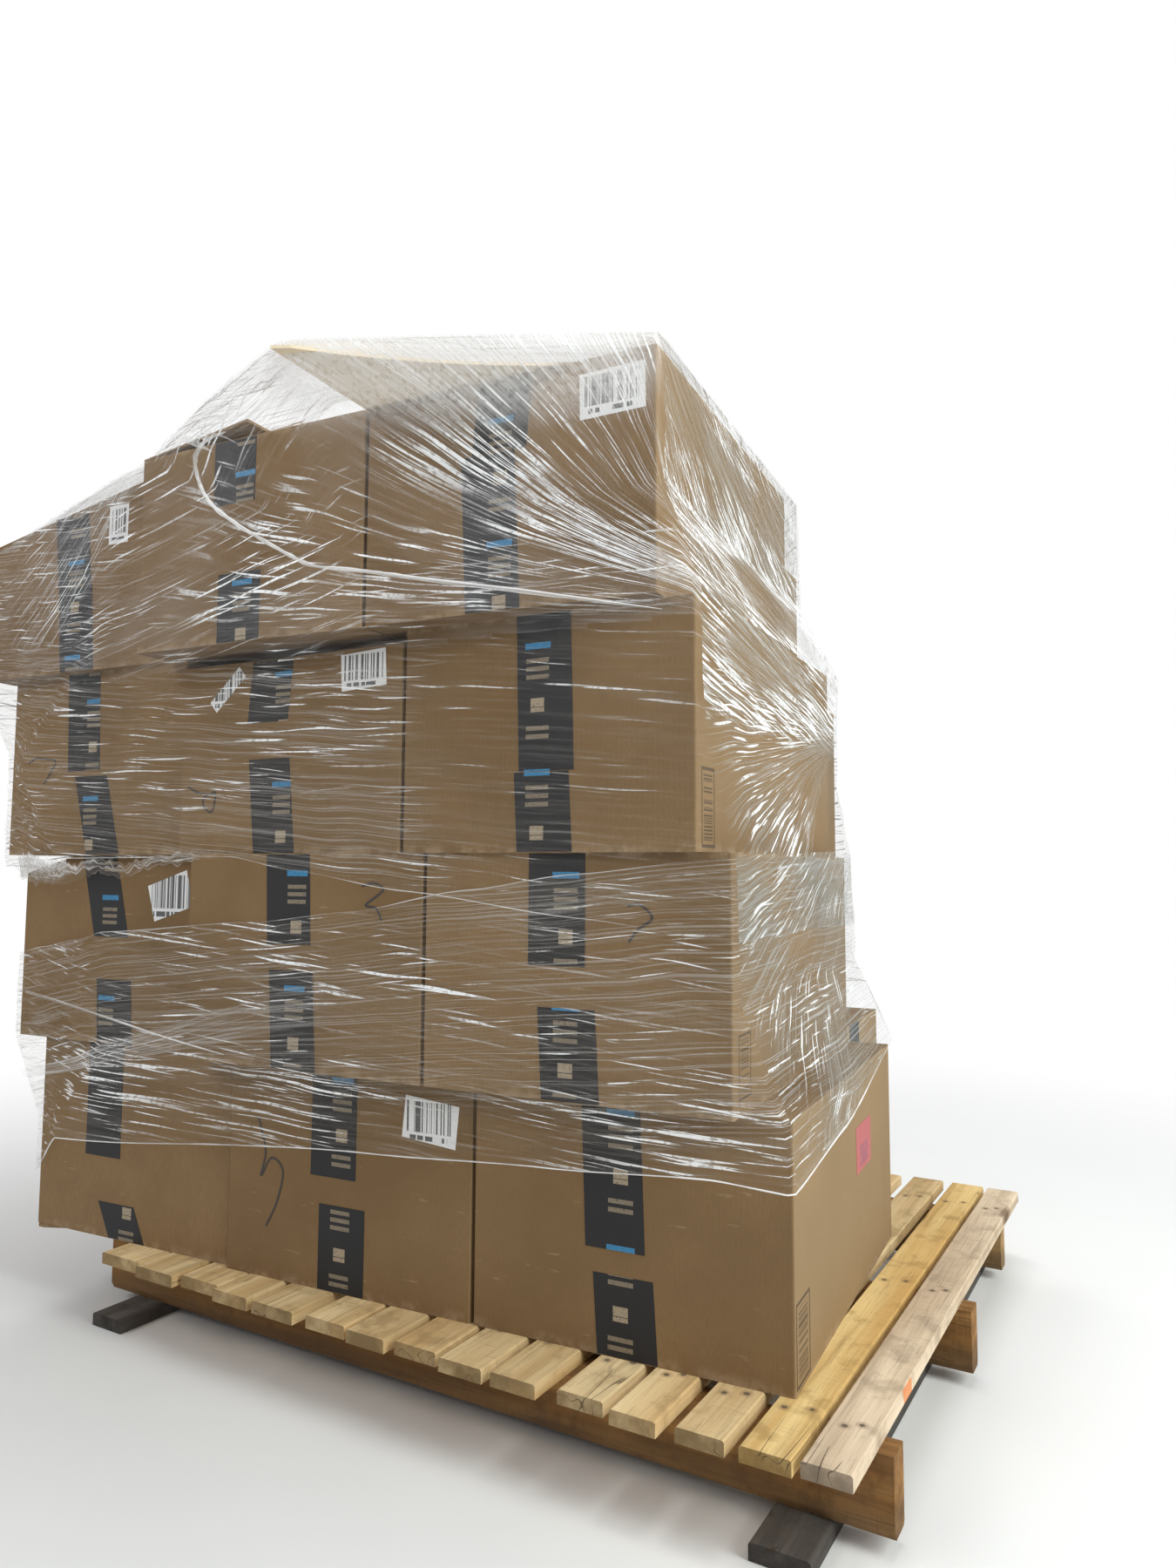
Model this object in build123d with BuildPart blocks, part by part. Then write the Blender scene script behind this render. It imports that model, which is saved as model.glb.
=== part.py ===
from build123d import *
from math import atan2, cos, pi, radians, sin
import os

# A used timber pallet carrying four tiers of taped cartons, held by stretch film.
# Millimetres, +Z up, +X to the right along the stringers, +Y away from the front.
# Everything is first laid out from the middle of the pallet, then centred for export.

# Pallet
PALLET_LENGTH = 1219.0          # along the stringers
PALLET_DEPTH = 1016.0           # length of a deck board
STRINGER_WIDTH = 36.0
STRINGER_HEIGHT = 80.0
STRINGER_INSET = 91.0           # deck overhang past the outer stringers
STRINGER_WANE = 9.0             # bark edge left on the lower corners
STRINGER_SHIFTS = (0.0, 0.0, -27.0)   # how far each one sits along X: front, middle, back
DECK_THICKNESS = 16.0
DECK_START = 91.0               # from the stringers' left end to the first deck board
DECK_WIDTHS = (
    85.0, 77.0, 74.0, 65.0, 73.0, 65.0, 60.0, 62.0, 61.0, 60.0, 57.0, 54.0, 54.0, 54.0, 51.0)
DECK_GAPS = (2.0, 7.0, 2.0, 10.0, 20.0, 7.0, 12.0, 9.0, 11.0, 25.0, 12.0, 20.0, 15.0, 7.0)
DECK_SHIFTS = (
    4.0, -3.0, 5.0, 0.0, -4.0, 2.0, -2.0, 3.0, -5.0, 1.0, 4.0, -3.0, 2.0, 2.5, 5.0)
DECK_EDGE = 2.0                 # worn long edges
BOTTOM_THICKNESS = 18.0
BOTTOM_WIDTH = 64.0
BOTTOM_INSETS = (58.0, 62.0)    # left board from the left end, right board from the right end
BOTTOM_LENGTH = 976.0

# Cartons
CARTON_WIDTH = 406.0            # across the front
CARTON_DEPTH = 562.0
CARTON_HEIGHT = 291.0
CARTON_GAP = 5.0                # between neighbours in a tier
CARTON_EDGE = 3.0               # soft vertical corners
FLAP_SEAM = 2.0                 # open joint between the two top flaps
BOARD_THICKNESS = 4.0           # corrugated board
COLUMNS = 3
TIERS = 4
BACK_COLUMNS = 2
# front right corner of each tier, in from the deck's right end and its front edge, and its turn
TIER_IN = (110.0, 162.0, 197.0, 232.0)
TIER_OUT = (119.0, 78.0, 61.0, 35.0)
TIER_TURN = (4.2, 4.3, 2.6, 5.0)
TIER_SETBACK = (8.0, 40.0, 8.0, 60.0)   # the left carton and the back row stand back by this

# Damaged cartons
FLAP_REACH = 184.0              # end flap of the top right carton, folded out to the front
FLAP_TIP_CUT = (22.0, 9.0)      # the worn tip: along the flap's edge and across it
FLAP_ROOT = 300.0               # how far along the front edge it is still held
FLAP_LIFT = 26.0                # the popped top flap of the top middle carton
CRUSH_DROP = 17.0               # crushed top edge of the third tier's middle carton
CRUSH_REACH = 90.0
DENT_DROP = 30.0                # crushed corner of the second tier's left carton
DENT_REACH = 120.0
SLUMP_DROP = 64.0               # upper left corner of the top left carton, drawn down by the film
SLUMP_REACH = 350.0
SLUMP_RUN = 300.0
SAG_DROP = 8.0                  # bottom corner of the lowest left carton, past the deck's end
SAG_REACH = 150.0

# Tape on the end faces: offset from the carton's middle, reach, and sideways run at the far end
TAPE_WIDTH = 76.0
TAPE_THICKNESS = 0.5
TAPE_MARGIN = 1.0               # short of the carton's edge
TAPE_TOP_MARGIN = 30.0          # where the tape over the top seam stops short
TAPE_HEADS = (                  # down from the top: right, middle and left carton of each tier
    ((-16.0, 171.0, 6.0), (-16.0, 143.0, 0.0), (-60.0, 172.0, 0.0)),
    ((-15.0, 134.0, 0.0), (-20.0, 123.0, 5.0), (-30.0, 128.0, 32.0)),
    ((5.0, 193.0, 5.0), (-25.0, 106.0, -8.0), (-30.0, 158.0, 8.0)),
    ((3.0, 92.0, -8.0), (-22.0, 93.0, 0.0), (-17.0, 150.0, 12.0)),
)
TAPE_FEET = (                   # up from the foot, in the same order
    ((6.0, 92.0, -6.0), (0.0, 112.0, 0.0), (-2.0, 52.0, -25.0)),
    ((4.0, 108.0, -6.0), (-2.0, 133.0, -8.0), (18.0, 98.0, -6.0)),
    ((8.0, 97.0, -5.0), (-15.0, 133.0, -13.0), (30.0, 124.0, -34.0)),
    ((-12.0, 198.0, -9.0), (-8.0, 98.0, 0.0), (7.0, 140.0, -10.0)),
)
TAPE_PLAIN = (0.0, 124.0, 0.0)  # on the ends of the turned cartons

# Labels: centre from the top middle of the front face of the carton in the name, size, tilt
LABEL_THICKNESS = 0.4
LABELS = {
    "label_t4_right": ((147.0, -45.0), (84.0, 56.0), 1.0),
    "label_t4_left": ((90.0, -62.0), (42.0, 62.0), 0.0),
    "label_t3_mid": ((138.0, -46.0), (76.0, 50.0), 3.0),
    "label_t3_mid_narrow": ((-112.0, -54.0), (74.0, 20.0), 41.0),
    "label_t2_left": ((127.0, -62.5), (84.0, 56.0), 17.0),
    "label_t1_mid": ((140.0, -53.0), (83.0, 54.0), -5.5),
}
SIDE_LABEL_CENTRE = (364.0, 183.0)      # on the lowest right carton's side: back, up
SIDE_LABEL_SIZE = (95.0, 62.0)

# Stretch film
FILM_THICKNESS = 1.0            # several turns together
FILM_CLEARANCE = 0.9            # over the tape
# lower edge on the front: share of the row from the right corner, height above the deck
FILM_EDGE = ((0.0, 215.0), (0.07, 223.0), (0.18, 210.0), (0.33, 191.0), (0.62, 141.0), (1.0, 82.0))
FILM_EDGE_CLIMB = 0.14          # the edge climbs by this much for each millimetre back
TENT_RISE = 125.0               # how far up the film takes to reach the next tier's face
FILM_LIP = 150.0                # turned in over the top
FILM_SLANT = 9.0                # degrees that the front turns back towards the left cartons
FLAP_TENT_DROP = 190.0          # how far below the top the film over the loose flap meets the front
FLAP_TENT_LEFT = 405.0          # and how far it spreads to the left of the flap
GAP_TOP = 22.0                  # bare band on the second tier, below its top edge
GAP_FOOT_LEFT = 156.0           # lower edge of the bare band at its left end, below the top edge
GAP_FOOT_RIGHT = 93.0
GAP_SIDE = 4.0                  # the band runs past the left corner by this much


deck_top = BOTTOM_THICKNESS + STRINGER_HEIGHT + DECK_THICKNESS
pitch = CARTON_WIDTH + CARTON_GAP
front_row = COLUMNS * CARTON_WIDTH + (COLUMNS - 1) * CARTON_GAP
back_start = CARTON_DEPTH + CARTON_GAP
back_row = BACK_COLUMNS * CARTON_DEPTH + (BACK_COLUMNS - 1) * CARTON_GAP
back_step = front_row - back_row        # the back row starts this far from the right side

pieces = {}


def tier_foot(tier):
    """Height of the underside of a tier, counted from 0."""
    return deck_top + tier * CARTON_HEIGHT


def tier_plane(tier, height=0.0):
    """Horizontal plane at a tier's front right corner, turned with the tier."""
    place = Plane(
        origin=(PALLET_LENGTH / 2 - TIER_IN[tier], TIER_OUT[tier] - PALLET_DEPTH / 2,
                tier_foot(tier) + height),
        x_dir=(cos(radians(TIER_TURN[tier])), sin(radians(TIER_TURN[tier])), 0),
        z_dir=(0, 0, 1),
    )
    return place


# Timber pallet

def make_stringer(name, row, shift):
    """One stringer on its edge, with bark left along both lower corners."""
    half = STRINGER_WIDTH / 2
    reach = PALLET_DEPTH / 2 - STRINGER_INSET - half
    left_end = (shift - PALLET_LENGTH / 2, row * reach, BOTTOM_THICKNESS)
    start = Plane(origin=left_end, x_dir=(0, 1, 0), z_dir=(1, 0, 0))
    with BuildPart() as stringer:
        with BuildSketch(start):
            with BuildLine():
                Polyline(
                    (-half + STRINGER_WANE / 2, 0),
                    (half - STRINGER_WANE / 3, 0),
                    (half, STRINGER_WANE / 2),
                    (half, STRINGER_HEIGHT),
                    (-half, STRINGER_HEIGHT),
                    (-half, STRINGER_WANE),
                    close=True,
                )
            make_face()
        extrude(amount=PALLET_LENGTH)
    pieces[name] = stringer.part


def make_deck():
    """Top boards across the stringers, each of its own width."""
    left = DECK_START - PALLET_LENGTH / 2
    for index, width in enumerate(DECK_WIDTHS):
        middle = left + width / 2
        with BuildPart() as board:
            with BuildSketch(Plane.XY.offset(BOTTOM_THICKNESS + STRINGER_HEIGHT)):
                with Locations((middle, DECK_SHIFTS[index])):
                    Rectangle(width, PALLET_DEPTH - 2 * abs(DECK_SHIFTS[index]))
            extrude(amount=DECK_THICKNESS)
            top = board.edges().filter_by(Axis.Y).group_by(Axis.Z)[-1]
            chamfer(top, DECK_EDGE)
        pieces[f"deck_board_{index + 1:02d}"] = board.part
        if index < len(DECK_GAPS):
            left += width + DECK_GAPS[index]


def make_bottom_board(name, middle):
    """A board nailed under the three stringers."""
    with BuildPart() as board:
        with BuildSketch(Plane.XY):
            with Locations((middle, 0)):
                Rectangle(BOTTOM_WIDTH, BOTTOM_LENGTH)
        extrude(amount=BOTTOM_THICKNESS)
        fillet(board.edges().filter_by(Axis.Y).group_by(Axis.Z)[-1], DECK_EDGE * 2)
    pieces[name] = board.part


# Cartons

def setback(tier, column):
    """How far back a front carton stands: only the left one of each tier does."""
    return TIER_SETBACK[tier] if column == COLUMNS - 1 else 0.0


def corner_cut(tier, top, drop, reach, run):
    """All that lies above a facet which takes off the left carton's upper front corner."""
    left_end = -2 * pitch - CARTON_WIDTH
    place = tier_plane(tier)
    low, along, back = (
        place.from_local_coords(Vector(*point)) for point in (
            (left_end, TIER_SETBACK[tier], top - drop),
            (left_end + reach, TIER_SETBACK[tier], top),
            (left_end, TIER_SETBACK[tier] + run, top)))
    facet = Plane(origin=low, x_dir=along - low, z_dir=(along - low).cross(back - low))
    with BuildPart() as cut:
        with BuildSketch(facet):
            Rectangle(2 * front_row, 2 * front_row)
        extrude(amount=CARTON_HEIGHT)
    return cut.part


def carton_blank(tier, left, front, width, depth, seam_along_y):
    """A closed carton with soft corners and the open joint between its top flaps."""
    middle = (left + width / 2, front + depth / 2)
    with BuildPart() as carton:
        with BuildSketch(tier_plane(tier)):
            with Locations(middle):
                RectangleRounded(width, depth, CARTON_EDGE)
        extrude(amount=CARTON_HEIGHT)
        with BuildSketch(tier_plane(tier, CARTON_HEIGHT)):
            with Locations(middle):
                if seam_along_y:
                    Rectangle(FLAP_SEAM, depth - 2 * CARTON_EDGE)
                else:
                    Rectangle(width - 2 * CARTON_EDGE, FLAP_SEAM)
        extrude(amount=-BOARD_THICKNESS, mode=Mode.SUBTRACT)
    return carton.part


def make_cartons():
    """Three cartons deep-wise in front and two turned cartons behind, on every tier."""
    sides = ("right", "mid", "left")
    for tier in range(TIERS):
        for column, side in enumerate(sides[:COLUMNS]):
            left = -column * pitch - CARTON_WIDTH
            pieces[f"carton_t{tier + 1}_{side}"] = carton_blank(
                tier, left, setback(tier, column), CARTON_WIDTH, CARTON_DEPTH, True)
        for column, side in enumerate(("right", "left")[:BACK_COLUMNS]):
            left = -back_step - column * (CARTON_DEPTH + CARTON_GAP) - CARTON_DEPTH
            pieces[f"carton_t{tier + 1}_back_{side}"] = carton_blank(
                tier, left, back_start + TIER_SETBACK[tier], CARTON_DEPTH, CARTON_WIDTH, False)


def damage_cartons():
    """The dents, the crushed edge, the sagging corner and the two flaps that came loose."""
    top = CARTON_HEIGHT
    past = CARTON_EDGE
    mid_right = -pitch
    left_right = -2 * pitch
    left_end = left_right - CARTON_WIDTH

    # third tier, middle: the top front edge is crushed, most at its left
    with BuildPart() as crushed:
        add(pieces["carton_t3_mid"])
        with BuildSketch(tier_plane(2, top)):
            Polygon((mid_right - CARTON_WIDTH - past, -past), (mid_right + past, -past),
                    (mid_right + past, CRUSH_REACH / 3), (mid_right - CARTON_WIDTH - past, CRUSH_REACH),
                    align=None)
        with BuildSketch(tier_plane(2, top - CRUSH_DROP)):
            Polygon((mid_right - CARTON_WIDTH - past, -past), (mid_right + past, -past),
                    (mid_right + past, 1 - past), (mid_right - CARTON_WIDTH - past, 1 - past),
                    align=None)
        loft(ruled=True, mode=Mode.SUBTRACT)
    pieces["carton_t3_mid"] = crushed.part

    # second and fourth tier, left: the upper left corner is knocked in, and drawn down by the film
    for tier, drop, reach, run in ((1, DENT_DROP, DENT_REACH, DENT_REACH),
                                   (3, SLUMP_DROP, SLUMP_REACH, SLUMP_RUN)):
        with BuildPart() as dented:
            add(pieces[f"carton_t{tier + 1}_left"])
            add(corner_cut(tier, CARTON_HEIGHT, drop, reach, run), mode=Mode.SUBTRACT)
        pieces[f"carton_t{tier + 1}_left"] = dented.part

    # first tier, left: it hangs past the deck's end, and its free corner has sagged
    with BuildPart() as sagging:
        add(pieces["carton_t1_left"])
        front = TIER_SETBACK[0] + CARTON_EDGE
        with BuildSketch(tier_plane(0)):
            Polygon((left_end, front), (left_end + SAG_REACH / 2, front),
                    (left_end + SAG_REACH / 4, SAG_REACH), (left_end, SAG_REACH), align=None)
        with BuildSketch(tier_plane(0, -SAG_DROP)):
            Polygon((left_end, front), (left_end + SAG_REACH / 12, front),
                    (left_end + SAG_REACH / 20, SAG_REACH / 3), (left_end, SAG_REACH / 3), align=None)
        loft(ruled=True)
    pieces["carton_t1_left"] = sagging.part

    # fourth tier, right: the front end flap stands out over the front, held along its root
    flap_left = -CARTON_WIDTH
    flap_right = flap_left + FLAP_ROOT
    tip = (flap_left + FLAP_TIP_CUT[0], FLAP_TIP_CUT[1] - FLAP_REACH)
    with BuildPart() as flapped:
        add(pieces["carton_t4_right"])
        with BuildSketch(tier_plane(3, top - BOARD_THICKNESS)):
            with BuildLine():
                Polyline((flap_left, CARTON_EDGE), (flap_left, -FLAP_REACH), tip)
                Spline(tip, (flap_left + FLAP_ROOT * 0.5, -FLAP_REACH * 0.42), (flap_right, 0))
                Polyline((flap_right, 0), (flap_right, CARTON_EDGE), (flap_left, CARTON_EDGE))
            make_face()
        extrude(amount=BOARD_THICKNESS)
    pieces["carton_t4_right"] = flapped.part

    # fourth tier, middle: its left top flap has sprung up along the seam
    hinge = mid_right - CARTON_WIDTH
    seam = mid_right - CARTON_WIDTH / 2 - FLAP_SEAM
    with BuildPart() as sprung:
        add(pieces["carton_t4_mid"])
        with BuildSketch(Plane(origin=tier_plane(3, top).origin, x_dir=tier_plane(3).x_dir,
                               z_dir=-tier_plane(3).y_dir)):
            Polygon((hinge + CARTON_EDGE, -BOARD_THICKNESS / 2), (hinge + CARTON_EDGE, 0),
                    (seam, FLAP_LIFT), (seam, FLAP_LIFT - BOARD_THICKNESS), align=None)
        extrude(amount=-(CARTON_DEPTH - CARTON_EDGE))
    pieces["carton_t4_mid"] = sprung.part


# Tape and labels

def face_plane(tier, u, v, turn):
    """Upright plane on a tier, its X running along a side and its Y up, facing outwards."""
    flat = tier_plane(tier)
    along = flat.x_dir.rotate(Axis.Z, turn)
    return Plane(origin=flat.from_local_coords(Vector(u, v, 0)), x_dir=along,
                 z_dir=along.cross(Vector(0, 0, 1)))


def tape_strip(face, foot, head, low_middle, high_middle):
    """One strip on an upright face, between two heights."""
    half = TAPE_WIDTH / 2
    with BuildPart() as strip:
        with BuildSketch(face):
            Polygon((low_middle - half, foot), (low_middle + half, foot),
                    (high_middle + half, head), (high_middle - half, head), align=None)
        extrude(amount=TAPE_THICKNESS)
    return strip.part


def end_tapes(face, head_tape, foot_tape, crushed=0.0):
    """The strip that comes down from the top seam and the one that comes up from the bottom."""
    offset, reach, run = head_tape
    head = CARTON_HEIGHT - TAPE_MARGIN - crushed
    strips = [tape_strip(face, CARTON_HEIGHT - reach, head, offset + run, offset)]
    offset, reach, run = foot_tape
    strips.append(tape_strip(face, TAPE_MARGIN, reach, offset, offset + run))
    return strips


def seam_tape(middle, turned):
    """Tape along the top seam of a carton on the uppermost tier."""
    length = CARTON_DEPTH - 2 * TAPE_TOP_MARGIN
    with BuildPart() as strip:
        with BuildSketch(tier_plane(TIERS - 1, CARTON_HEIGHT)):
            with Locations(middle):
                if turned:
                    Rectangle(length, TAPE_WIDTH)
                else:
                    Rectangle(TAPE_WIDTH, length)
        extrude(amount=TAPE_THICKNESS)
    return strip.part


def make_tapes():
    """Closing tape on the ends that show, and over the top seams that are still shut."""
    for tier in range(TIERS):
        turned_middle = back_start + TIER_SETBACK[tier] + CARTON_WIDTH / 2
        strips = []
        for column in range(COLUMNS):
            middle = -column * pitch - CARTON_WIDTH / 2
            crushed = CRUSH_DROP if (tier, column) == (2, 1) else 0.0
            if (tier, column) == (3, 0):
                crushed = BOARD_THICKNESS
            if (tier, column) == (3, 2):
                crushed = SLUMP_DROP * (1 - (CARTON_WIDTH - TAPE_WIDTH) / 2 / SLUMP_REACH)
            face = face_plane(tier, middle, setback(tier, column), 0)
            strips += end_tapes(face, TAPE_HEADS[tier][column], TAPE_FEET[tier][column], crushed)
        for face in (face_plane(tier, -back_step, turned_middle, 90),
                     face_plane(tier, -front_row, turned_middle, -90)):
            strips += end_tapes(face, TAPE_PLAIN, TAPE_PLAIN)
        if tier == TIERS - 1:
            strips.append(seam_tape((-CARTON_WIDTH / 2, CARTON_DEPTH / 2), False))
            for column in range(BACK_COLUMNS):
                middle = -back_step - column * (CARTON_DEPTH + CARTON_GAP) - CARTON_DEPTH / 2
                strips.append(seam_tape((middle, turned_middle), True))
        with BuildPart() as tape:
            for strip in strips:
                add(strip)
        pieces[f"tape_t{tier + 1}"] = tape.part


def make_labels():
    """Stick-on labels on the front faces, and one on the side of the lowest tier."""
    for name, (centre, size, tilt) in LABELS.items():
        tier, column = int(name[7]) - 1, ("right", "mid", "left").index(name.split("_")[2])
        middle = -column * pitch - CARTON_WIDTH / 2
        with BuildPart() as label:
            with BuildSketch(face_plane(tier, middle, setback(tier, column), 0)):
                with Locations((centre[0], CARTON_HEIGHT + centre[1])):
                    Rectangle(*size, rotation=tilt)
            extrude(amount=LABEL_THICKNESS)
        pieces[name] = label.part
    with BuildPart() as label:
        with BuildSketch(face_plane(0, 0, 0, 90)):
            with Locations(SIDE_LABEL_CENTRE):
                Rectangle(*SIDE_LABEL_SIZE)
        extrude(amount=LABEL_THICKNESS)
    pieces["label_t1_side"] = label.part


# Stretch film

def film_corners(tier):
    """What a tier holds the film out with: its corners, from the right front one round."""
    back = back_start + TIER_SETBACK[tier] + CARTON_WIDTH
    corners = (
        (0, 0),
        (0, CARTON_DEPTH),
        (-back_step, back),
        (-front_row, back),
        (-front_row, TIER_SETBACK[tier]),
        (CARTON_WIDTH - front_row, TIER_SETBACK[tier]),
        (-(COLUMNS - 1) * pitch + CARTON_GAP, 0),
    )
    return [tier_plane(tier).from_local_coords(Vector(u, v, 0)) for u, v in corners]


def film_section(lower, upper, out):
    """Outline drawn tight around two tiers at once, moved out by a clearance."""
    points = film_corners(lower) + film_corners(upper)
    turn = (TIER_TURN[lower] + TIER_TURN[upper]) / 2
    slant = 90 - atan2(CARTON_WIDTH, back_step) * 180 / pi
    lines = []
    for angle in (turn - 90, turn, turn + slant, turn + 90, turn + 180, turn + 270 - FILM_SLANT):
        normal = (cos(radians(angle)), sin(radians(angle)))
        reach = max(point.X * normal[0] + point.Y * normal[1] for point in points) + out
        lines.append((normal, reach))
    corners = []
    for (one, near), (two, far) in zip(lines, lines[1:] + lines[:1]):
        area = one[0] * two[1] - one[1] * two[0]
        corners.append(((near * two[1] - far * one[1]) / area, (far * one[0] - near * two[0]) / area))
    return corners


def flap_tent(out, head):
    """The film's tent over the loose end flap, from its tip down to the front."""
    tip = -CARTON_WIDTH
    spread = tip - FLAP_TENT_LEFT
    wide = ((0, -out), (tip, -FLAP_REACH - 2 * out), (spread, -out), (spread, CARTON_EDGE), (0, CARTON_EDGE))
    near = 2 * CARTON_EDGE
    narrow = ((tip + near, -out), (tip, -out * 2), (tip - near, -out),
              (tip - near, CARTON_EDGE), (tip + near, CARTON_EDGE))
    levels = (
        (head - tier_foot(TIERS - 1), wide),
        (CARTON_HEIGHT - BOARD_THICKNESS - 2 * out, wide),
        (CARTON_HEIGHT - FLAP_TENT_DROP, narrow),
    )
    with BuildPart() as tent:
        for height, corners in levels:
            with BuildSketch(tier_plane(TIERS - 1, height)):
                Polygon(*corners, align=None)
        loft(ruled=True)
    return tent.part


def film_skin(out, foot, head):
    """A closed tent through the tiers' outlines, with the flap's tent and the slumped corner."""
    sections = [(foot, film_section(0, 0, out))]
    for tier in range(TIERS - 1):
        ledge = tier_foot(tier + 1)
        sections.append((ledge - TENT_RISE, film_section(tier, tier, out)))
        sections.append((ledge, film_section(tier, tier + 1, out)))
        sections.append((ledge + TENT_RISE, film_section(tier + 1, tier + 1, out)))
    sections.append((head, film_section(TIERS - 1, TIERS - 1, out)))
    with BuildPart() as skin:
        for height, corners in sections:
            with BuildSketch(Plane.XY.offset(height)):
                Polygon(*corners, align=None)
        loft(ruled=True)
        add(flap_tent(out, head))
        top = head - tier_foot(TIERS - 1)
        over = top - CARTON_HEIGHT
        add(corner_cut(TIERS - 1, top, SLUMP_DROP + over - out * 3, SLUMP_REACH * 1.3, SLUMP_RUN * 1.3),
            mode=Mode.SUBTRACT)
    return skin.part


def make_film():
    """The wound film, drawn over the ledges and turned in over the top."""
    inner = TAPE_THICKNESS + FILM_CLEARANCE
    outer = inner + FILM_THICKNESS
    head = tier_foot(TIERS) + FLAP_LIFT + FILM_CLEARANCE
    foot = deck_top + FILM_EDGE[-1][1] - FILM_CLEARANCE
    outside = film_skin(outer, foot, head + FILM_THICKNESS)
    inside = film_skin(inner, foot - 1, head)
    top_ring = film_section(TIERS - 1, TIERS - 1, -FILM_LIP)
    before = CARTON_WIDTH
    edge = [(-share * front_row, height) for share, height in FILM_EDGE]
    edge = [(before, edge[0][1])] + edge + [(-front_row - before, edge[-1][1])]
    profile = face_plane(0, 0, -before, 0).shift_origin(
        face_plane(0, 0, -before, 0).from_local_coords(Vector(0, -before * FILM_EDGE_CLIMB, 0)))
    back = Vector(*tier_plane(0).y_dir) + Vector(0, 0, FILM_EDGE_CLIMB)
    with BuildPart() as film:
        add(outside)
        add(inside, mode=Mode.SUBTRACT)
        with BuildSketch(Plane.XY.offset(head - 1)):
            Polygon(*top_ring, align=None)
        extrude(amount=FILM_THICKNESS + 2, mode=Mode.SUBTRACT)
        # lower edge, rising to the right and to the back
        with BuildSketch(profile):
            Polygon((edge[0][0], -CARTON_HEIGHT), *edge, (edge[-1][0], -CARTON_HEIGHT), align=None)
        extrude(amount=PALLET_LENGTH + 2 * before, dir=back, mode=Mode.SUBTRACT)
        # bare band across the left and middle of the second tier
        with BuildSketch(face_plane(1, 0, 0, 0)):
            Polygon((-pitch, CARTON_HEIGHT - GAP_TOP),
                    (-front_row - GAP_SIDE, CARTON_HEIGHT - 2 * GAP_TOP),
                    (-front_row - GAP_SIDE, CARTON_HEIGHT - GAP_FOOT_LEFT),
                    (-pitch, CARTON_HEIGHT - GAP_FOOT_RIGHT), align=None)
        extrude(amount=CARTON_WIDTH / 2, both=True, mode=Mode.SUBTRACT)
    pieces["stretch_film"] = film.part


def export_all():
    """Centre the load over the origin and write one file for each piece."""
    os.makedirs("parts", exist_ok=True)
    box = Compound(children=[Compound(part.wrapped) for part in pieces.values()]).bounding_box()
    shift = Location((-(box.min.X + box.max.X) / 2, -(box.min.Y + box.max.Y) / 2, 0))
    for name, part in pieces.items():
        placed = part.moved(shift)
        placed.label = name
        export_step(placed, f"parts/{name}.step")
    print("pieces", len(pieces), "size", [round(v, 1) for v in box.size], "shift", shift.position)


for row, name in ((-1, "stringer_front"), (0, "stringer_middle"), (1, "stringer_back")):
    make_stringer(name, row, STRINGER_SHIFTS[row + 1])
make_deck()
make_bottom_board("bottom_board_left", BOTTOM_INSETS[0] + BOTTOM_WIDTH / 2 - PALLET_LENGTH / 2)
make_bottom_board("bottom_board_right", PALLET_LENGTH / 2 - BOTTOM_INSETS[1] - BOTTOM_WIDTH / 2)
make_cartons()
damage_cartons()
make_tapes()
make_labels()
make_film()
export_all()
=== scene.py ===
import math
import random
from collections import namedtuple

import bmesh
import bpy
from mathutils import Matrix, Vector, noise


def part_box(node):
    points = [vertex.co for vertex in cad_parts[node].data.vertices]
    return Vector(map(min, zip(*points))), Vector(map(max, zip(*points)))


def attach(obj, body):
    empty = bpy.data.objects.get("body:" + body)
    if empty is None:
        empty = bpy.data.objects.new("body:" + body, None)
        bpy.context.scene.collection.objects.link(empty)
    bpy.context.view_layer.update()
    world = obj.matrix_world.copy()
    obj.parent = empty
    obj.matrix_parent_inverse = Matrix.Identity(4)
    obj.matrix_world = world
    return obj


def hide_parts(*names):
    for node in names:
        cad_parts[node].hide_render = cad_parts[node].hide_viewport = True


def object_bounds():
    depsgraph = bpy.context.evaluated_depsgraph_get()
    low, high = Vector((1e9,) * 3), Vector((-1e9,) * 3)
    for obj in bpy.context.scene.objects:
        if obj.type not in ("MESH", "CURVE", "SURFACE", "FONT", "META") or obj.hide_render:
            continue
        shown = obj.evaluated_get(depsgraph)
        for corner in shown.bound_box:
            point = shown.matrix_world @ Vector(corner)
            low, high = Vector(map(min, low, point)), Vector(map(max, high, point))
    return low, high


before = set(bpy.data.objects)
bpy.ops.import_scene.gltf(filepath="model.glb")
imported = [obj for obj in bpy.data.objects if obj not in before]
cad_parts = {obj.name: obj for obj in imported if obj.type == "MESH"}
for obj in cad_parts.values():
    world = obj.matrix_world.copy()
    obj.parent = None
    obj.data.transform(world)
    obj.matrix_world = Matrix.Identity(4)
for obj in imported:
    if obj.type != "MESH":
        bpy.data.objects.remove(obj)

cad_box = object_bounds()
random.seed(7)

# Cartons
CARTON_WIDTH, CARTON_DEPTH, CARTON_HEIGHT, CARTON_GAP = 0.406, 0.562, 0.291, 0.005
COLUMNS = ("right", "mid", "left", "back_right", "back_left")
COLUMN_PITCH = CARTON_WIDTH + CARTON_GAP
ROW = 3 * CARTON_WIDTH + 2 * CARTON_GAP
BACK_STEP = ROW - 2 * CARTON_DEPTH - CARTON_GAP

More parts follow.
